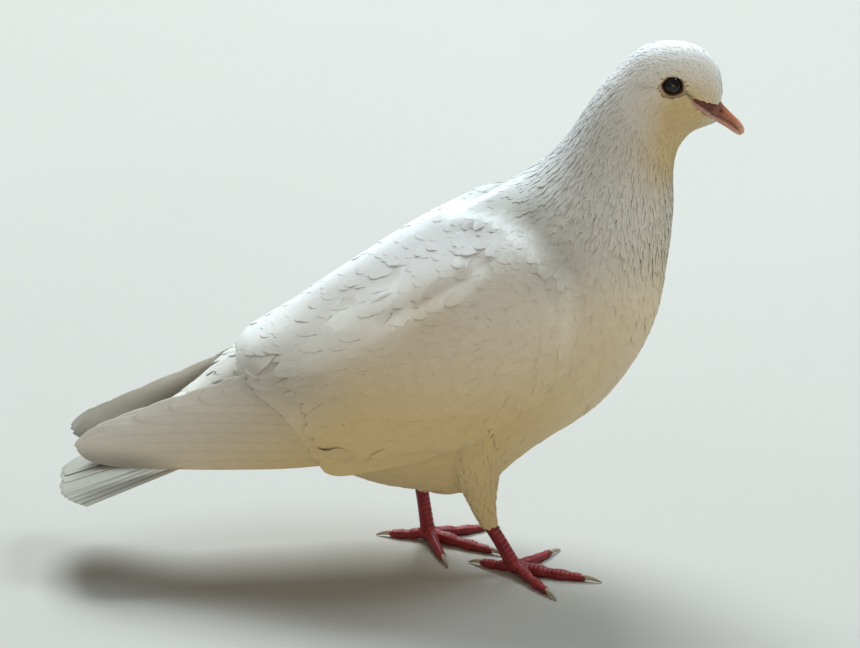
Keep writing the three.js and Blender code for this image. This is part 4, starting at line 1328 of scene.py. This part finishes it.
def lids(name, skin_tree, material):
    """The bare lids round one eye: from below the feathers up to the rim and in to the eyeball."""
    side, count = SIDES[name], 72
    axes = eye_frame(side)
    out = axes[1]
    turn = np.linspace(0, 2 * np.pi, count, endpoint=False)
    grid = ring_grid(axes, LID_RADII, LID_HEIGHTS, count, lid_stretch(turn))
    for r, (over_skin, share) in enumerate(LID_ON_SKIN):
        for c in range(count):
            hit = skin_tree.ray_cast(Vector(grid[r, c] + out * 10 * MM), Vector(-out), 0.03)[0]
            if hit is not None:
                grid[r, c] += (np.array(hit) + out * over_skin * MM - grid[r, c]) * share
    ring = np.arange(len(LID_RADII))
    folds = 0.07 * MM * np.sin(1.8 * np.pi * ring)[:, None] * (1 + np.cos(turn * 3))
    grid += out * (folds * (ring < 6)[:, None])[..., None]
    rim = np.interp(ring, (0, 3.5, 5, 9), (0, 0.1, 0.9, 1))
    faces = grid_faces(len(ring), count, True)[:, ::side]
    piece = new_piece(f"lids_{name}", grid.reshape(-1, 3), faces, material, {"rim": np.repeat(rim, count)})
    return settle(piece, "plumage")


def bill_axes():
    """The bill's tip, and the directions backwards along it and up from it."""
    slope = math.radians(BILL_SLOPE)
    tip = np.array([BILL_TIP[0], 0, BILL_TIP[1]]) * MM
    back = np.array([-math.cos(slope), 0, math.sin(slope)])
    return tip, back, np.array([math.sin(slope), 0, math.cos(slope)])


def mandible(name, sections, lower, material, replaced):
    """One half of the bill as a loft through its sections."""
    tip, back, up = bill_axes()
    rows, count = 60, 40
    table = through(np.array(sections, float), np.linspace(0, len(sections) - 1, rows))
    turn = np.linspace(0, 2 * np.pi, count, endpoint=False)
    above, below = np.clip(np.cos(turn), 0, 1), np.clip(-np.cos(turn), 0, 1)
    side = np.sign(np.sin(turn)) * np.abs(np.sin(turn)) ** 0.85
    far, low, high, half = (table[:, k, None] for k in range(4))
    if lower:
        height = high - (high - low) * below**0.9 + 0.1 * half * above
    else:
        height = low + (high - low) * above**0.85 - 0.12 * half * below
    width = half * side
    cere = np.exp(-(((far - 18.4) / 2.6) ** 2)) * above**0.6 * np.abs(side) ** 0.5 * (not lower)
    nostril = np.exp(-(((far - 14.6) / 1.9) ** 2)) * np.exp(-(((above - 0.62) / 0.16) ** 2)) * (not lower)
    width = width + np.sign(side) * (0.8 * cere - 0.35 * nostril)
    height = height + 0.5 * cere
    place = tip + back * (far * MM * np.ones(count))[..., None] + up * (height * MM)[..., None]
    place[..., 1] += width * MM
    points = np.concatenate([place.reshape(-1, 3), place[0].mean(0, keepdims=True)])
    ring = np.arange(count)
    fan = np.stack([np.roll(ring, -1), ring, np.full(count, rows * count)], -1)
    # The dark tomium line where the mandibles meet and the dark nostril are painted shade.
    tomium = 0.8 * np.exp(-((np.cos(turn) / 0.2) ** 2)) * smooth_step(1.5, 5, far)
    floats = {
        "along": np.append(np.repeat(table[:, 0] / BILL_REACH, count), 0),
        "dark": np.append(np.maximum(nostril, tomium).ravel(), 0),
        "pale": np.full(rows * count + 1, PALE_LIP if lower else 0.0),
    }
    faces = grid_faces(rows, count, True).tolist() + fan.tolist()
    return settle(new_piece(name, points, faces, material, floats), "bill_horn", replaced)


def gape(name, outer_tree, material):
    """The bare wedge from one corner of the mouth to the bill, with the line of the mouth in it."""
    side = SIDES[name]
    rows, columns = 24, 13
    along, across = np.meshgrid(np.linspace(0, 1, rows), np.linspace(0, 1, columns), indexing="ij")
    x = GAPE[0] - 0.5 + GAPE_LENGTH * along
    upper, lower = wedge_edges(x)
    upper, lower = upper + 0.35, lower - 0.5
    grid = np.stack([x, np.zeros_like(x), upper + (lower - upper) * across], -1) * MM
    for r, c in np.ndindex(rows, columns):
        start = Vector((grid[r, c, 0], side * 40 * MM, grid[r, c, 2]))
        hit = outer_tree.ray_cast(start, Vector((0, -side, 0)), 0.06)[0]
        grid[r, c, 1] = hit[1] if hit is not None else grid[r - 1, c, 1] * 0.9
    grid[..., 1] = soften(grid[..., 1], 2, False)
    tip, back, up = bill_axes()
    far = (grid - tip) @ back / MM
    table = np.array(UPPER_BILL)
    top, half = (np.interp(far, table[:, 0], table[:, k]) for k in (2, 3))
    over = np.maximum((grid - tip) @ up / MM - top + 0.5, 0) * smooth_step(0.72, 0.95, along)
    grid = grid - over[..., None] * MM * up
    round_off = np.clip(1 - (np.maximum(top - over, 0) / (top + 0.6)) ** 4, 0.3, 1)
    bill_side = side * half * np.sqrt(round_off) * MM
    grid[..., 1] += (bill_side - grid[..., 1]) * smooth_step(0.84 - 0.14 * across, 1.0, along)
    mouth_line = 0.34 + 0.48 * along
    mouth = np.exp(-(((across - mouth_line) / 0.07) ** 2)) * smooth_step(0, 0.15, along)
    swell = np.sin(np.pi * across) ** 0.6 * smooth_step(0, 0.2, along) * 0.4 - 0.35 - 0.45 * mouth
    grid[..., 1] += side * swell * MM
    # The dark line of the mouth is painted shade in its crease.
    floats = {"along": far.ravel() / BILL_REACH, "dark": 0.85 * mouth.ravel(),
              "pale": PALE_LIP * smooth_step(0.0, 0.05, across - mouth_line).ravel()}
    faces = grid_faces(rows, columns)[:, ::side]
    return settle(new_piece(f"gape_{name}", grid.reshape(-1, 3), faces, material, floats), "bill_horn")


# ---- legs ----------------------------------------------------------------------------------------
LEG_VOXEL = 0.36 * MM
LEG_GROWTH = 0.24 * MM  # closes the gaps between the frame's toes before they are joined
SCUTE_LENGTH = {"toe": 1.9 * MM, "tarsus": 2.3 * MM}
SCUTE_HEIGHT = 0.2 * MM


def hub_of(name):
    """The middle of one foot, where its toes meet."""
    tarsus = points_of(NODES[f"tarsus_{name}"].data)
    return tarsus[tarsus[:, 2] < tarsus[:, 2].min() + 3 * MM].mean(0)


def scutes(shapes, hub, spots, normals):
    """For each spot of a leg: its place along a scute, how far scutes cover it, and its swelling."""
    tarsus, *toes = shapes
    upper = shapes[tarsus]
    ends = {tarsus: upper[upper[:, 2] > upper[:, 2].max() - 3 * MM].mean(0)}
    for toe in toes:
        ends[toe] = shapes[toe][np.linalg.norm((shapes[toe] - hub)[:, :2], axis=1).argmax()]
    ahead = unit((ends[toes[0]] - hub) * [1, 1, 0])
    nearest = np.full(len(spots), np.inf)
    saw, mask, swell = (np.zeros(len(spots)) for _ in range(3))
    for label, end in ends.items():
        is_toe = label in toes
        start = np.array([hub[0], hub[1], 3.2 * MM if is_toe else 6 * MM])
        line = end - start
        share = np.clip((spots - start) @ line / (line @ line), 0, 1)
        gap = np.linalg.norm(spots - start - share[:, None] * line, axis=1)
        own = gap < nearest
        nearest[own] = gap[own]
        phase = (share * np.linalg.norm(line) / SCUTE_LENGTH["toe" if is_toe else "tarsus"]) % 1
        facing = normals @ (np.array([0, 0, 1.0]) if is_toe else ahead)
        saw[own] = phase[own] if is_toe else 1 - phase[own]
        mask[own] = smooth_step(0.15, 0.6, facing)[own]
        if is_toe:
            knuckles = np.cos(2 * np.pi * (3.2 * share - 0.1)) * smooth_step(0.12, 0.3, share)
            swell[own] = (0.7 * knuckles - 3.2 * smooth_step(0.84, 1.0, share))[own]
    return saw, mask, swell


def bare_leg(name, material):
    """Bare skin of one leg and its toes in one piece, with scutes along the upper faces."""
    labels = [f"tarsus_{name}"] + [f"toe_{toe}_{name}" for toe in TOES]
    shapes = {label: points_of(NODES[label].data) for label in labels}
    hub = hub_of(name)
    points, faces = joined_nodes(labels)
    grown = points + np.concatenate([normals_of(NODES[label].data) for label in labels]) * LEG_GROWTH
    turn = np.linspace(0.05, 3.09, 12)
    palm = ring_grid((np.array([hub[0], hub[1], 3.5 * MM]), *np.eye(3)[[2, 0, 1]]),
                     4.3 * np.sin(turn), 3.0 * np.cos(turn), 20)
    faces += grid_faces(len(turn), 20, True, len(points)).tolist()
    piece = fused(f"bare_leg_{name}", np.concatenate([grown, palm.reshape(-1, 3)]), faces,
                  LEG_VOXEL, 4, material)
    spots, normals = points_of(piece.data), normals_of(piece.data)
    saw, mask, swell = scutes(shapes, hub, spots, normals)
    lift = SCUTE_HEIGHT * mask * (saw * smooth_step(1.0, 0.86, saw) - 0.45)
    spots = spots + normals * (lift + 0.24 * MM * swell - 0.6 * LEG_GROWTH)[:, None]
    spots[:, 2] = np.maximum(spots[:, 2], 0.03 * MM)
    piece.data.vertices.foreach_set("co", spots.astype(np.float32).ravel())
    # edge marks the scutes' pale edges, partly painted highlight.
    write_floats(piece.data, {"edge": mask * np.exp(-(((saw - 0.86) / 0.12) ** 2)), "top": mask})
    piece.data.update()
    return settle(piece, "leg_skin", *labels)


def claw(name, toe, material):
    """One curved claw that grows out of its toe."""
    node_name = f"claw_{toe}_{name}"
    shape = points_of(NODES[node_name].data)
    away = np.linalg.norm((shape - hub_of(name))[:, :2], axis=1)
    tip, base = shape[away.argmax()], shape[away < away.min() + 0.6 * MM].mean(0)
    ahead = unit((tip - base) * [1, 1, 0])
    share = np.linspace(0, 1, 22)
    start = base - ahead * 2.2 * MM
    path = start + (tip - start) * share[:, None]
    path[:, 2] = start[2] - 0.1 * MM + (0.3 * MM - start[2] + 0.1 * MM) * share**2.0
    tangent = unit(np.gradient(path, axis=0))
    side = unit(np.cross(tangent, [0, 0, 1.0]))
    up = np.cross(side, tangent)
    turn = np.linspace(0, 2 * np.pi, 18, endpoint=False)
    radius = (1.15 * (1 - share) ** 0.7 + 0.10)[:, None] * MM
    grid = (path[:, None] + side[:, None] * (0.82 * radius * np.cos(turn))[..., None]
            + up[:, None] * (1.08 * radius * np.sin(turn))[..., None])
    grid[..., 2] = np.maximum(grid[..., 2], 0.04 * MM)
    points = np.concatenate([grid.reshape(-1, 3), path[-1:]])
    last = (len(share) - 1) * len(turn) + np.arange(len(turn))
    cap = np.stack([last, np.roll(last, -1), np.full(len(turn), len(points) - 1)], -1)
    faces = grid_faces(len(share), len(turn), True).tolist() + cap.tolist()
    along = np.append(np.repeat(share, len(turn)), 1)
    piece = new_piece(f"horn_{toe}_{name}", points, faces, material, {"along": along})
    return settle(piece, "claw_horn", node_name)


# ---- room ----------------------------------------------------------------------------------------
# A cool key from above and behind, a broad warm fill, a warm glow from low in front and a cool
# light on the brow: place, aim, size and power, and colour.
LIGHTS = [
    ("key", (-0.15, 1.12, 1.82), (0, 0, 0.11), 1.1, 61, (0.83, 0.94, 1.0)),
    ("fill", (-0.6, -1.9, 1.3), (0, 0, 0.11), 1.6, 2.4, (1.0, 0.95, 0.86)),
    ("glow", (0.3, -1.2, 0.10), (0.02, 0, 0.08), 0.8, 3.4, (1.0, 0.72, 0.36)),
    ("brow", (1.0, 0.15, 1.5), (0.1, 0, 0.2), 0.6, 14, (0.72, 0.88, 1.0)),
]


def camera():
    """The camera at the photo's angle, aimed so that the origin falls on its pixel."""
    tilt = math.radians(CAMERA_ELEVATION)
    aim_x = (IMAGE_WIDTH / 2 - ORIGIN_PIXEL[0]) * PIXEL
    aim_z = (ORIGIN_PIXEL[1] - IMAGE_HEIGHT / 2) * PIXEL / math.cos(tilt)
    data = bpy.data.cameras.new("camera")
    data.sensor_width = SENSOR * 1000
    data.lens = SENSOR * 1000 * CAMERA_DISTANCE / (IMAGE_WIDTH * PIXEL)
    data.clip_end = 50
    made = bpy.data.objects.new("camera", data)
    made.location = (aim_x, -CAMERA_DISTANCE * math.cos(tilt), aim_z + CAMERA_DISTANCE * math.sin(tilt))
    made.rotation_euler = (math.pi / 2 - tilt, 0, 0)
    bpy.context.scene.collection.objects.link(made)
    bpy.context.scene.camera = made


def floor():
    """A plain pale floor, wide enough to fill every view."""
    made, tree, shader = surface("floor", Roughness=0.9, Specular_IOR_Level=0.1)
    patches = remap(tree, noise(tree, 3), 0.3, 0.7, 0, 1)
    paint(tree, shader, blend(tree, patches, (0.46, 0.44, 0.40, 1), (0.48, 0.46, 0.42, 1)))
    side = 60.0
    corners = [(-side, -side, 0), (side, -side, 0), (side, side, 0), (-side, side, 0)]
    new_piece("floor", corners, [(0, 1, 2, 3)], made)


def lights():
    """Four soft area lights and an even grey sky."""
    for name, place, aim, size, power, colour in LIGHTS:
        data = bpy.data.lights.new(name, "AREA")
        data.size, data.energy, data.color = size, power, colour
        made = bpy.data.objects.new(name, data)
        made.location = place
        made.rotation_euler = (Vector(aim) - Vector(place)).to_track_quat("-Z", "Y").to_euler()
        made.visible_camera = False
        bpy.context.scene.collection.objects.link(made)
    world = bpy.data.worlds.new("world")
    bpy.context.scene.world = world
    world.use_nodes = True
    sky = world.node_tree.nodes["Background"].inputs
    sky["Color"].default_value = (0.95, 0.97, 0.965, 1)
    sky["Strength"].default_value = 0.25
    bpy.context.scene.view_settings.view_transform = "Standard"


# ---- making --------------------------------------------------------------------------------------
camera()
floor()
lights()
PLUMAGE = plumage_material("plumage", 0.97, 330.0, (0.99, 1.005), 0.02)
NECK = plumage_material("plumage_neck", 0.88, 160.0, (0.96, 1.02), 0.04)
DOWN = plumage_material("plumage_head", 0.98, 60.0, (0.99, 1.02), 0.0)
BODY_CHART, BODY_PLACES = outer_shape()
OUTER_TREE = BVHTree.FromPolygons(BODY_CHART.data[..., :3].reshape(-1, 3).tolist(),
                                  grid_faces(BODY_CHART.rows, BODY_CHART.columns, True).tolist())
THIGHS = {name: thigh_shape(name) for name in SIDES}
RUMP = rump_shape()
WINGS = {name: wing_shape(side, OUTER_TREE) for name, side in SIDES.items()}
SKIN = skin_piece(BODY_CHART, BODY_PLACES, WINGS["left"], [*THIGHS.values(), RUMP], PLUMAGE)
COAT_MATERIALS = {name: {"coat_head": DOWN, "coat_neck": NECK}.get(name, PLUMAGE) for name in COAT_PIECES}
body_coat(BODY_CHART, BODY_PLACES, WINGS["left"], COAT_MATERIALS)
rump_coat(RUMP, PLUMAGE)
FLIGHT = plumage_material("flight_feathers", 0.94, 420.0, (0.98, 1.015), 0.08)
COVERT = plumage_material("wing_coverts", 0.985, 420.0, (0.99, 1.005), 0.02)
for side_name, side_sign in SIDES.items():
    thigh_coat(side_name, THIGHS[side_name], PLUMAGE)
    wing_coat(side_name, WINGS[side_name], COVERT)
    secondaries(side_name, WINGS[side_name], FLIGHT)
    primaries(side_name, blade_shape(side_sign), FLIGHT)
tail(FLIGHT)
SKIN_TREE = BVHTree.FromPolygons(points_of(SKIN.data).tolist(),
                                 [list(p.vertices) for p in SKIN.data.polygons])
EYE, LID, BILL = eye_material(), lid_material(), bill_material()
LEG, HORN = leg_material(), claw_material()
mandible("upper_mandible", UPPER_BILL, False, BILL, "bill_upper")
mandible("lower_mandible", LOWER_BILL, True, BILL, "bill_lower")
for side_name in SIDES:
    eyeball(side_name, EYE)
    lids(side_name, SKIN_TREE, LID)
    gape(side_name, OUTER_TREE, BILL)
    bare_leg(side_name, LEG)
    for toe_name in TOES:
        claw(side_name, toe_name, HORN)
